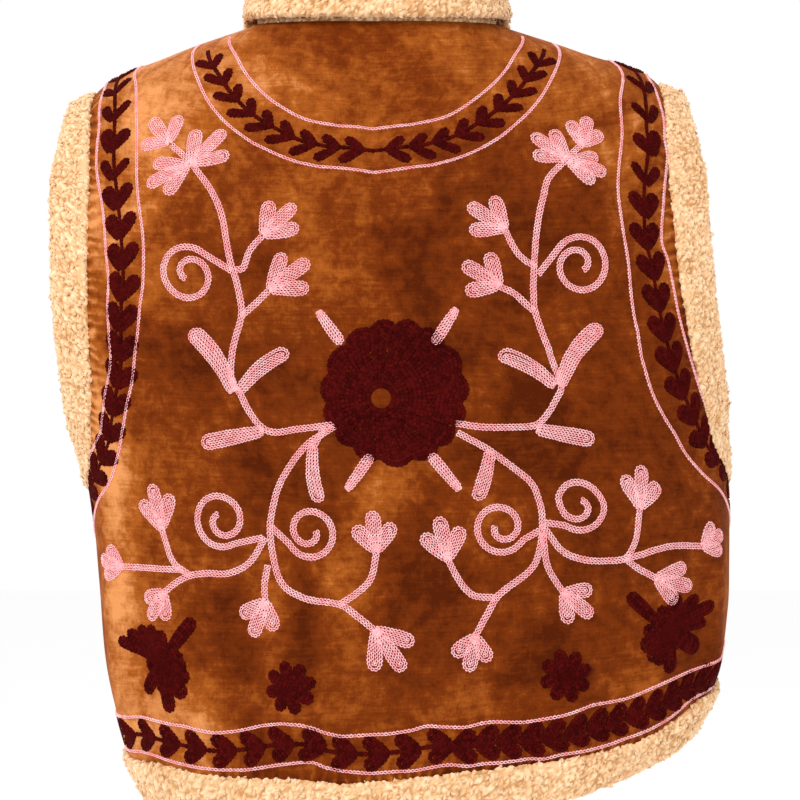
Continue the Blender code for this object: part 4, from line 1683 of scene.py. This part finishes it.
def make_tuft():
    """One small bent curl of pile, one unit long, with painted light that makes it lighter at its
    top.
    """
    vertices = [(-TUFT_HALF, *TUFT_TIP)]
    for x, rise, radius in TUFT_RINGS:
        for k in range(TUFT_SIDES):
            turn = 2 * np.pi * (k + 0.5) / TUFT_SIDES
            bend = TUFT_BEND[0] - TUFT_BEND[1] * x * x
            vertices.append((x, bend + radius * np.cos(turn), rise + radius * np.sin(turn)))
    vertices.append((TUFT_HALF, *TUFT_TIP))
    item = mesh_object("tuft", vertices, spindle_faces(0, TUFT_SIDES, len(TUFT_RINGS)))
    turn_outwards(item)
    rise = points_of(item.data)[:, 2]
    # Painted light: lighter towards the top
    store(item.data, "crest", "FLOAT", np.clip(TUFT_PAINTED_LIGHT[0] + TUFT_PAINTED_LIGHT[1] * rise, 0, 1))
    return item


def tuft_tree():
    """Scatters tufts over a skin of pile, thick where its points say so."""
    inputs = {"Skin": "Geometry", "Tuft": "Object", "Spacing": "Float", "Length": "Float",
              "Seed": "Int", "Pile": "Material"}
    tree, given, result = geometry_tree("pile tufts", inputs, "Fleece")
    entry = given.outputs
    seed = entry["Seed"]
    most = make_node(tree, "ShaderNodeMath", {0: entry["Spacing"], 1: -2.0}, operation="POWER")
    scatter = make_node(tree, "GeometryNodeDistributePointsOnFaces", {
        "Mesh": entry["Skin"], "Distance Min": entry["Spacing"], "Density Max": most.outputs[0],
        "Density Factor": read_field(tree, "cover", "FLOAT"), "Seed": seed},
        distribute_method="POISSON")
    tuft = make_node(tree, "GeometryNodeObjectInfo", {"Object": entry["Tuft"]})
    spin = make_node(tree, "FunctionNodeRandomValue", data_type="FLOAT_VECTOR")
    feed(tree, spin, {"Min": (-TUFT_LEAN, -TUFT_LEAN, 0.0), "Max": (TUFT_LEAN, TUFT_LEAN, 6.283),
                      "Seed": seed})
    euler = make_node(tree, "FunctionNodeEulerToRotation", {"Euler": spin.outputs["Value"]})
    turn = make_node(tree, "FunctionNodeRotateRotation", {
        "Rotation": scatter.outputs["Rotation"], "Rotate By": euler.outputs[0]},
        rotation_space="LOCAL")
    least, largest = TUFT_SCALES
    vary = make_node(tree, "FunctionNodeRandomValue", {2: least, 3: largest, "Seed": seed},
                     data_type="FLOAT")
    scale = make_node(tree, "ShaderNodeMath", {0: vary.outputs[1], 1: entry["Length"]},
                      operation="MULTIPLY")
    place = make_node(tree, "GeometryNodeInstanceOnPoints", {
        "Points": scatter.outputs["Points"], "Instance": tuft.outputs["Geometry"],
        "Rotation": turn.outputs[0], "Scale": scale.outputs[0]})
    both = make_node(tree, "GeometryNodeJoinGeometry", {"Geometry": place.outputs[0]})
    feed(tree, both, {"Geometry": entry["Skin"]})
    return realize(tree, both.outputs[0], entry["Pile"], result, "Fleece")


# Materials: stretch of the velvet's ground threads and slubs, and the slubs' share; share and
# fineness of small patches; how much the nap's painted sheen and shade, the weave and the
# puckers' painted light and shade tell; and the puckers at a seam, with painted shade along it
WARP_STRETCH = (0.25, 1.0, 1.0)
WEFT_STRETCH = (1.0, 0.20, 1.0)
SLUB_STRETCH = (0.03, 0.5, 1.0)
SLUB_SHARE = 0.35
FINE_PATCHES = 7.0
FINE_PATCH_SHARE = 0.8
NAP_SHEEN_SHARE = 0.36
WEAVE_SHARE = 0.55
PUCKER_REACH = 12.5 * MM
PUCKER_PERIOD = 8.2 * MM
PUCKER_DRIFT = 14.0
PUCKER_LIGHT = 0.20
PUCKER_HEIGHT = 1.8
SEAM_SHADE = 0.12
DRIFT_FINENESS = 40.0
VELVET_PATCHES = {"Patches": 13.0, "Strength": 0.95}
VELVET_THREADS = 900.0
THREAD_HEIGHT = 0.35

# Pile and embroidery thread: fineness of the fuzz, the shade and the twist, and their shares
PILE_PATCHES = {"Patches": 22.0, "Strength": 0.5}
FUZZ_FINENESS = 1500.0
FUZZ_ROUGHNESS = 0.7
FUZZ_SHARE = 0.5
SHADE_FINENESS = 28.0
TWIST_FINENESS = 2600.0
TINT_SHARE = 0.55
TWIST_SHARE = 0.15

# How each surface takes light, and the strength and depth of its fine relief
VELVET_ROUGHNESS = (0.86, 0.22)
VELVET_LOOK = {"Specular IOR Level": 0.03, "Sheen Weight": 0.20, "Sheen Roughness": 0.3,
               "Sheen Tint": (1.0, 0.36, 0.10, 1.0)}
PILE_LOOK = {"Roughness": 0.95, "Specular IOR Level": 0.1, "Sheen Weight": 0.35,
             "Sheen Roughness": 0.5, "Sheen Tint": (1.0, 0.86, 0.66, 1.0)}
THREAD_LOOK = {"Roughness": 0.7, "Sheen Roughness": 0.4}
VELVET_RELIEF = (0.75, 0.9 * MM)
PILE_RELIEF = (0.5, 0.5 * MM)
THREAD_RELIEF = (0.5, 0.25 * MM)


def group_tree(name, given, results):
    """Empty shader node group with named inputs and outputs."""
    tree = bpy.data.node_groups.new(name, "ShaderNodeTree")
    for label, kind, value in given:
        socket = new_socket(tree, label, "INPUT", kind)
        if value is not None:
            socket.default_value = value
    for label in results:
        new_socket(tree, label, "OUTPUT", "Float")
    return tree, tree.nodes.new("NodeGroupInput"), tree.nodes.new("NodeGroupOutput")


def math_node(tree, operation, *values, clamp=False):
    """A Math node fed by sockets or plain numbers; gives its output."""
    return make_node(tree, "ShaderNodeMath", dict(enumerate(values)), operation=operation,
                     use_clamp=clamp).outputs[0]


def plus(tree, first, second, clamp=False):
    return math_node(tree, "ADD", first, second, clamp=clamp)


def less(tree, first, second, clamp=False):
    return math_node(tree, "SUBTRACT", first, second, clamp=clamp)


def times(tree, first, second):
    return math_node(tree, "MULTIPLY", first, second)


def noise_node(tree, vector, scale, detail=3.0, roughness=0.55, distortion=0.0):
    """A Noise Texture node; gives its even output."""
    return make_node(tree, "ShaderNodeTexNoise", {
        "Vector": vector, "Scale": scale, "Detail": detail, "Roughness": roughness,
        "Distortion": distortion}).outputs["Fac"]


def stretched(tree, vector, stretch):
    """A vector multiplied by a stretch."""
    return make_node(tree, "ShaderNodeVectorMath", {0: vector, 1: stretch},
                     operation="MULTIPLY").outputs[0]


def weave_group():
    """Ground weave that shows through short nap: crossed, slightly uneven threads."""
    tree, given, result = group_tree(
        "weave", [("Place", "Vector", None), ("Threads", "Float", 520.0)], ["Height", "Tone"])
    place = given.outputs["Place"]
    threads = given.outputs["Threads"]
    across = noise_node(tree, stretched(tree, place, WARP_STRETCH), threads, 2.0)
    down = noise_node(tree, stretched(tree, place, WEFT_STRETCH), threads, 2.0)
    height = times(tree, plus(tree, across, down), 0.5)
    slub = noise_node(tree, stretched(tree, place, SLUB_STRETCH), threads, 1.0)
    tone = plus(tree, times(tree, height, 1 - SLUB_SHARE), times(tree, slub, SLUB_SHARE))
    feed(tree, result, {"Height": height, "Tone": tone})
    return tree


def mottle_group():
    """Uneven patches from large to small, about a middle of one half."""
    given_values = [("Place", "Vector", None), ("Patches", "Float", 14.0), ("Strength", "Float", 1.0)]
    tree, given, result = group_tree("mottle", given_values, ["Mask"])
    place = given.outputs["Place"]
    large = noise_node(tree, place, given.outputs["Patches"], 2.0, 0.5, 0.6)
    fine_scale = times(tree, given.outputs["Patches"], FINE_PATCHES)
    fine = noise_node(tree, place, fine_scale, 5.0, 0.62, 0.3)
    total = plus(tree, less(tree, large, 0.5),
                 times(tree, less(tree, fine, 0.5), FINE_PATCH_SHARE))
    mask = plus(tree, times(tree, total, given.outputs["Strength"]), 0.5)
    feed(tree, result, {"Mask": mask})
    return tree


def place_group(tree, group, values):
    """Puts a node group into a material with its own values."""
    return feed(tree, make_node(tree, "ShaderNodeGroup", node_tree=group), values)


def new_material(name):
    material = bpy.data.materials.new(name)
    material.use_nodes = True
    tree = material.node_tree
    return material, tree, tree.nodes["Principled BSDF"]


def read_value(tree, name):
    return make_node(tree, "ShaderNodeAttribute", attribute_name=name).outputs["Fac"]


def read_map(tree, name):
    return make_node(tree, "ShaderNodeUVMap", uv_map=name).outputs["UV"]


def colour_steps(tree, factor, steps):
    """Colour ramp through a list of positions and colours."""
    node = tree.nodes.new("ShaderNodeValToRGB")
    ramp = node.color_ramp
    while len(ramp.elements) < len(steps):
        ramp.elements.new(0.5)
    for element, (position, colour) in zip(ramp.elements, steps):
        element.position = position
        element.color = (*colour, 1.0)
    return feed(tree, node, {"Fac": factor}).outputs["Color"]


def add_bump(tree, shader, height, strength, distance):
    node = make_node(tree, "ShaderNodeBump",
                     {"Strength": strength, "Distance": distance, "Height": height})
    feed(tree, shader, {"Normal": node.outputs["Normal"]})


def velvet_material(colours, groups):
    """Cotton velvet: patchy nap with painted sheen and shade, fine ground weave, puckers at the seams
    with painted light and shade, painted shade along the seams, and a soft sheen.
    """
    material, tree, shader = new_material("velvet_cloth")
    cloth = read_map(tree, "cloth")
    seam = read_map(tree, "seam")
    weave = place_group(tree, groups["weave"], {"Place": cloth, "Threads": VELVET_THREADS})
    mottle = place_group(tree, groups["mottle"], {"Place": cloth, **VELVET_PATCHES})
    # Painted sheen and shade from the nap's patches
    nap = times(tree, read_value(tree, "nap"), NAP_SHEEN_SHARE)
    light = plus(tree, nap, mottle.outputs["Mask"])
    tone = less(tree, weave.outputs["Tone"], 0.5)
    light = plus(tree, light, times(tree, tone, WEAVE_SHARE))
    parts = make_node(tree, "ShaderNodeSeparateXYZ", {0: seam})
    along, away = parts.outputs["X"], parts.outputs["Y"]
    near = math_node(tree, "EXPONENT", times(tree, away, -1 / PUCKER_REACH))
    drift = noise_node(tree, cloth, DRIFT_FINENESS, 2.0)
    turn = times(tree, along, 2 * np.pi / PUCKER_PERIOD)
    turn = plus(tree, turn, times(tree, drift, PUCKER_DRIFT))
    pucker = times(tree, math_node(tree, "SINE", turn), near)
    # Painted light and shade on the puckers' ridges and troughs
    light = plus(tree, light, times(tree, pucker, PUCKER_LIGHT))
    # Painted shade along each seam
    light = less(tree, light, times(tree, near, SEAM_SHADE), True)
    # From painted shade to painted highlight, through the velvet's own tones
    colour = colour_steps(tree, light, [
        (0.12, colours.velvet_deep),
        (0.42, colours.velvet_middle),
        (0.68, colours.velvet_bright),
        (1.0, colours.velvet_highlight),
    ])
    most, fall = VELVET_ROUGHNESS
    rough = less(tree, most, times(tree, light, fall))
    feed(tree, shader, {"Base Color": colour, "Roughness": rough, **VELVET_LOOK})
    fine = times(tree, weave.outputs["Height"], THREAD_HEIGHT)
    height = plus(tree, fine, times(tree, pucker, PUCKER_HEIGHT))
    add_bump(tree, shader, height, *VELVET_RELIEF)
    return material


def pile_material(colours, groups):
    """Curly cream pile: pale tops, warm painted shade deep between the curls, and fine fuzz."""
    material, tree, shader = new_material("pile_curls")
    place = tree.nodes.new("ShaderNodeTexCoord").outputs["Object"]
    crest = read_value(tree, "crest")
    mottle = place_group(tree, groups["mottle"], {"Place": place, **PILE_PATCHES})
    fuzz = noise_node(tree, place, FUZZ_FINENESS, 3.0, FUZZ_ROUGHNESS)
    # Painted shade of the curls, with random patches
    shade = plus(tree, crest, less(tree, mottle.outputs["Mask"], 0.5))
    shade = plus(tree, shade, times(tree, less(tree, fuzz, 0.5), FUZZ_SHARE), True)
    # From painted shade between the curls to the pile's own cream on their tops
    colour = colour_steps(tree, shade, [
        (0.0, colours.pile_shaded),
        (0.35, colours.pile_middle),
        (0.9, colours.pile_top),
    ])
    feed(tree, shader, {"Base Color": colour, **PILE_LOOK})
    add_bump(tree, shader, fuzz, *PILE_RELIEF)
    return material


def thread_material(name, dark, light, sheen, gloss):
    """Twisted cotton thread: each link has its own shade, with fine twist on it."""
    material, tree, shader = new_material(name)
    place = tree.nodes.new("ShaderNodeTexCoord").outputs["Object"]
    slow = noise_node(tree, place, SHADE_FINENESS, 2.0)
    twist = noise_node(tree, place, TWIST_FINENESS, 1.0)
    tint = times(tree, plus(tree, read_value(tree, "tint"), slow), TINT_SHARE)
    tint = plus(tree, tint, times(tree, twist, TWIST_SHARE), True)
    colour = colour_steps(tree, tint, [(0.2, dark), (0.95, light)])
    feed(tree, shader, {"Base Color": colour, "Specular IOR Level": gloss, "Sheen Weight": sheen,
                        **THREAD_LOOK})
    add_bump(tree, shader, twist, *THREAD_RELIEF)
    return material


def plain_material(name, colour, roughness):
    material, tree, shader = new_material(name)
    feed(tree, shader, {"Base Color": (*colour, 1.0), "Roughness": roughness})
    return material


def material_named(name, make):
    """The material if it is there already, or else a new one."""
    return bpy.data.materials.get(name) or make()


def shared_groups():
    names = {"weave": weave_group, "mottle": mottle_group}
    return {name: bpy.data.node_groups.get(name) or make() for name, make in names.items()}


# What a user can change

def length_property(name, text, value):
    return FloatProperty(name=name, description=text, default=value, unit="LENGTH")


def colour_property(name, text, value):
    return FloatVectorProperty(name=name, description=text, default=value, subtype="COLOR")


class WaistcoatSizes(bpy.types.PropertyGroup):
    """Sizes of the stitches and of the pile"""
    thread_height: length_property("Thread height", "How far the thread stands up", 1.25 * MM)
    curl_size: length_property("Curl size", "Width of one curl of the pile", 4.4 * MM)
    curl_height: length_property("Curl height", "How far the curls stand up", 1.8 * MM)
    tuft_length: length_property("Tuft length", "Length of one loose tuft", 4.4 * MM)
    tuft_spacing: length_property("Tuft spacing", "Least distance between tufts", 4.6 * MM)
    seed: IntProperty(name="Seed", description="Start of the even but unordered scatter", default=7)


class WaistcoatColours(bpy.types.PropertyGroup):
    """Colours of the cloth and of the threads"""
    # Velvet colours are stops of one ramp: the nap's painted sheen and shade, the puckers' painted
    # light and shade and the painted shade at the seams move along it, with the velvet's own patchy
    # tone and weave; the deep end serves painted shade and the top end painted highlight
    velvet_deep: colour_property("Velvet, deep", "Nap turned away", (0.072, 0.0100, 0.0010))
    velvet_middle: colour_property("Velvet, middle", "Usual nap", (0.160, 0.0270, 0.0022))
    velvet_bright: colour_property("Velvet, bright", "Nap turned up", (0.320, 0.0780, 0.0090))
    velvet_highlight: colour_property("Velvet, gold", "Nap that catches light", (0.640, 0.250, 0.0800))
    # Pile colours are stops of one ramp: deep and middle are painted shade between and on the sides
    # of the curls, top is the pile's own cream
    pile_shaded: colour_property("Pile, deep", "Between the curls", (0.500, 0.230, 0.080))
    pile_middle: colour_property("Pile, middle", "Sides of the curls", (0.760, 0.450, 0.225))
    pile_top: colour_property("Pile, top", "Tops of the curls", (0.930, 0.650, 0.400))
    pink_dark: colour_property("Pink, darker", "Darker pink thread", (1.000, 0.320, 0.330))
    pink_light: colour_property("Pink, lighter", "Lighter pink thread", (1.000, 0.600, 0.620))
    red_dark: colour_property("Dark red, darker", "Darker red thread", (0.026, 0.0010, 0.0010))
    red_light: colour_property("Dark red, lighter", "Lighter red thread", (0.082, 0.0035, 0.0030))
    floor: colour_property("Floor", "Floor of the studio", (0.97, 0.97, 0.97))


PANEL_NAMES = {0: "back", 1: "front_left", -1: "front_right"}


class MakeVelvet(bpy.types.Operator):
    """Make the velvet back and the two fronts"""
    bl_idname = "waistcoat.make_velvet"
    bl_label = "Velvet panels"

    def execute(self, context):
        colours = context.scene.waistcoat_colours
        velvet = material_named("velvet_cloth", lambda: velvet_material(colours, shared_groups()))
        nets = {"back": back_net(), "front_left": front_net(1), "front_right": front_net(-1)}
        for name, net in nets.items():
            item = make_panel(name + "_velvet", net)
            finish_piece(item, velvet)
            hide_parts(name)
        return {"FINISHED"}


class MakeEmbroidery(bpy.types.Operator):
    """Make the chain-stitch flowers, stems, rosette, hearts and border lines"""
    bl_idname = "waistcoat.make_embroidery"
    bl_label = "Chain-stitch embroidery"

    def execute(self, context):
        sizes = context.scene.waistcoat_sizes
        colours = context.scene.waistcoat_colours
        pink = material_named("pink_thread", lambda: thread_material(
            "pink_thread", colours.pink_dark, colours.pink_light, 0.2, 0.2))
        red = material_named("red_thread", lambda: thread_material(
            "red_thread", colours.red_dark, colours.red_light, 0.0, 0.02))
        tree = stitch_tree()
        links = {thread: make_link(thread + "_link", *kind) for thread, kind in LINK_KINDS.items()}
        threads = {"pink": pink, "red": red}
        rows = flower_rows() + yoke_rows() + armhole_rows() + hem_rows()
        rows += rosette_rows() + red_flower_rows()
        for group in ("flowers", "stems", "lines", "hearts", "rosette"):
            for thread in ("pink", "red"):
                chosen = [row for row in rows if row.group == group and row.thread == thread]
                if not chosen:
                    continue
                table = work_out_links(chosen, sizes.seed)
                panels = panel_of(table["level"], table["across"])
                for number, panel in PANEL_NAMES.items():
                    here = panels == number
                    if here.any():
                        make_stitches(f"{panel}_{group}_{thread}", table, here, tree, links[thread],
                                      sizes.thread_height, threads[thread])
        for link in links.values():
            bpy.data.objects.remove(link)
        return {"FINISHED"}


def make_band(name, frames, backing_frames, closed, sizes, tree, tuft, material, profile=(),
              backing_profile=()):
    """A pile band: plain backing that stands for the node, and the curly pile round it."""
    backing = lay_outline(*backing_frames, backing_outline(), *backing_profile)
    skin = lay_outline(*frames, pile_outline(), *profile)
    if not closed:
        skin = round_ends(skin, PILE_END_ROUND)
        backing = backing[1:-1]
    finish_pile(name, skin, backing, closed, sizes, tree, tuft, material)


def finish_pile(name, skin, backing, closed, sizes, tree, tuft, material):
    """Makes the backing and the pile of a band or of the collar."""
    under = sweep_mesh(name + "_backing", backing, closed)
    # The backing gets one even painted shade from the pile's colour ramp
    store(under.data, "crest", "FLOAT", np.full(len(under.data.vertices), BACKING_PAINTED_SHADE))
    finish_piece(under, material)
    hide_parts(name)
    fleece = sweep_mesh(name + "_pile", skin, closed)
    corners = skin.shape[1]
    outer = np.arange(corners) < OUTER_SHARE * corners
    cover = np.tile(np.where(outer, 1.0, INNER_COVER), len(skin))
    curl_pile(fleece, sizes)
    store(fleece.data, "cover", "FLOAT", cover)
    values = {"Tuft": tuft, "Spacing": sizes.tuft_spacing, "Length": sizes.tuft_length,
              "Seed": sizes.seed, "Pile": material}
    run_tree(fleece, tree, values)
    finish_piece(fleece, material)


class MakePile(bpy.types.Operator):
    """Make the pile bands round the armholes, along the hem and down the fronts, and the collar"""
    bl_idname = "waistcoat.make_pile"
    bl_label = "Pile bands and collar"

    def execute(self, context):
        sizes = context.scene.waistcoat_sizes
        colours = context.scene.waistcoat_colours
        pile = material_named("pile_curls", lambda: pile_material(colours, shared_groups()))
        tree = tuft_tree()
        tuft = make_tuft()
        for name, side in (("armhole_band_left", 1), ("armhole_band_right", -1)):
            steps = 2 * int(round(BAND_CUTS[name] / PILE_STEP / 2))
            make_band(name, armhole_frames(side, steps), armhole_frames(side, BACKING_STEPS),
                      True, sizes, tree, tuft, pile, armhole_profile(steps),
                      armhole_profile(BACKING_STEPS))
        steps = int(round((FRONT_LEFT[0] - FRONT_RIGHT[0]) / PILE_STEP))
        make_band("hem_band", hem_frames(steps), hem_frames(BACKING_STEPS), False, sizes, tree,
                  tuft, pile, hem_profile(steps)[1:], hem_profile(BACKING_STEPS)[1:])
        for name, side in (("front_band_left", 1), ("front_band_right", -1)):
            steps = int(round(BAND_CUTS[name] / PILE_STEP))
            make_band(name, front_frames(side, steps), front_frames(side, BACKING_STEPS // 2),
                      False, sizes, tree, tuft, pile)
        half = COLLAR_THICK / 2
        steps = int(round((FRONT_LEFT[-1] - FRONT_RIGHT[-1]) / PILE_STEP))
        skin = round_ends(collar_sections(steps, half, PILE_FINE), PILE_END_ROUND)
        backing = collar_sections(BACKING_STEPS, half - BACKING_INSET, 3 * PILE_COARSE)[1:-1]
        finish_pile("collar", skin, backing, False, sizes, tree, tuft, pile)
        bpy.data.objects.remove(tuft)
        return {"FINISHED"}


class DeclareCloth(bpy.types.Operator):
    """Read each panel's velvet area and its cut size, and do nothing more with them"""
    bl_idname = "waistcoat.declare_cloth"
    bl_label = "Cut sizes"

    def execute(self, context):
        shown = bpy.data.objects
        for panel in PANEL_NAMES.values():
            cloth = shown[panel + "_velvet"]
            work = [item for item in shown if item.name.startswith(panel + "_") and
                    item.name.endswith(("_pink", "_red"))]
            area = mesh_area(cloth.data) / 2
            width, length = PANEL_CUTS[panel]
        return {"FINISHED"}


def mesh_area(mesh):
    areas = np.empty(len(mesh.polygons), np.float32)
    mesh.polygons.foreach_get("area", areas)
    return float(areas.sum())


# Stage: camera behind the garment's back, soft light from the upper left of the picture
CAMERA_PLACE = (-0.0194, 1.15, -0.312)
CAMERA_LENS = 61.4
FLOOR_HEIGHT = -1.45
FLOOR_SIZE = 14.0
Lamp = namedtuple("Lamp", "name place size power")
LAMPS = [
    Lamp("key",   ( 1.30, 1.70,  1.00), 0.9, 30.0),
    Lamp("fill",  (-1.60, 1.50, -0.10), 1.6,  7.0),
    Lamp("front", ( 0.30, -2.0,  0.90), 1.6, 24.0),
]
LIGHT_TARGET = (0.0, 0.05, -0.30)


class MakeStage(bpy.types.Operator):
    """Make the floor, the soft lights, the sky and the camera"""
    bl_idname = "waistcoat.make_stage"
    bl_label = "Stage"

    def execute(self, context):
        scene = context.scene
        colours = scene.waistcoat_colours
        half = FLOOR_SIZE / 2
        corners = [(-half, -half), (half, -half), (half, half), (-half, half)]
        floor = mesh_object("floor", [(x, y, FLOOR_HEIGHT) for x, y in corners], [(0, 1, 2, 3)])
        floor.data.materials.append(plain_material("floor", colours.floor, 0.9))
        floor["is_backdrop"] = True
        for lamp in LAMPS:
            light = bpy.data.lights.new(lamp.name, "AREA")
            light.shape = "DISK"
            light.size = lamp.size
            light.energy = lamp.power
            item = bpy.data.objects.new(lamp.name, light)
            item.location = lamp.place
            way = Vector(LIGHT_TARGET) - Vector(lamp.place)
            item.rotation_euler = way.to_track_quat("-Z", "Y").to_euler()
            scene.collection.objects.link(item)
        world = bpy.data.worlds.new("studio")
        world.use_nodes = True
        sky = world.node_tree.nodes["Background"]
        sky.inputs["Color"].default_value = (1.0, 1.0, 1.0, 1.0)
        sky.inputs["Strength"].default_value = 1.0
        scene.world = world
        scene.view_settings.view_transform = "Standard"
        camera = bpy.data.cameras.new("camera")
        camera.lens = CAMERA_LENS
        item = bpy.data.objects.new("camera", camera)
        item.location = CAMERA_PLACE
        item.rotation_euler = (np.pi / 2, 0.0, np.pi)
        scene.collection.objects.link(item)
        scene.camera = item
        return {"FINISHED"}


class WaistcoatPanel(bpy.types.Panel):
    """Sizes, colours and steps of the waistcoat"""
    bl_idname = "VIEW3D_PT_waistcoat"
    bl_label = "Waistcoat"
    bl_space_type = "VIEW_3D"
    bl_region_type = "UI"
    bl_category = "Waistcoat"

    def draw(self, context):
        layout = self.layout
        for group in (context.scene.waistcoat_sizes, context.scene.waistcoat_colours):
            box = layout.box()
            for name in group.__annotations__:
                box.prop(group, name)
        for step in STEPS:
            layout.operator(step.bl_idname)


STEPS = (MakeStage, MakeVelvet, MakeEmbroidery, MakePile, DeclareCloth)
CLASSES = (WaistcoatSizes, WaistcoatColours, *STEPS, WaistcoatPanel)


def register():
    for item in CLASSES:
        bpy.utils.register_class(item)
    bpy.types.Scene.waistcoat_sizes = PointerProperty(type=WaistcoatSizes)
    bpy.types.Scene.waistcoat_colours = PointerProperty(type=WaistcoatColours)


def unregister():
    del bpy.types.Scene.waistcoat_colours
    del bpy.types.Scene.waistcoat_sizes
    for item in reversed(CLASSES):
        bpy.utils.unregister_class(item)


def write_sizes():
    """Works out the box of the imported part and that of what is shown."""
    boxes = {"cad": CAD_BOX, "visual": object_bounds()}
    plain = {name: [list(map(float, corner)) for corner in box] for name, box in boxes.items()}


def main():
    register()
    bpy.ops.waistcoat.make_stage()
    bpy.ops.waistcoat.make_velvet()
    bpy.ops.waistcoat.make_embroidery()
    bpy.ops.waistcoat.make_pile()
    bpy.ops.waistcoat.declare_cloth()
    write_sizes()


if __name__ == "__main__":
    main()
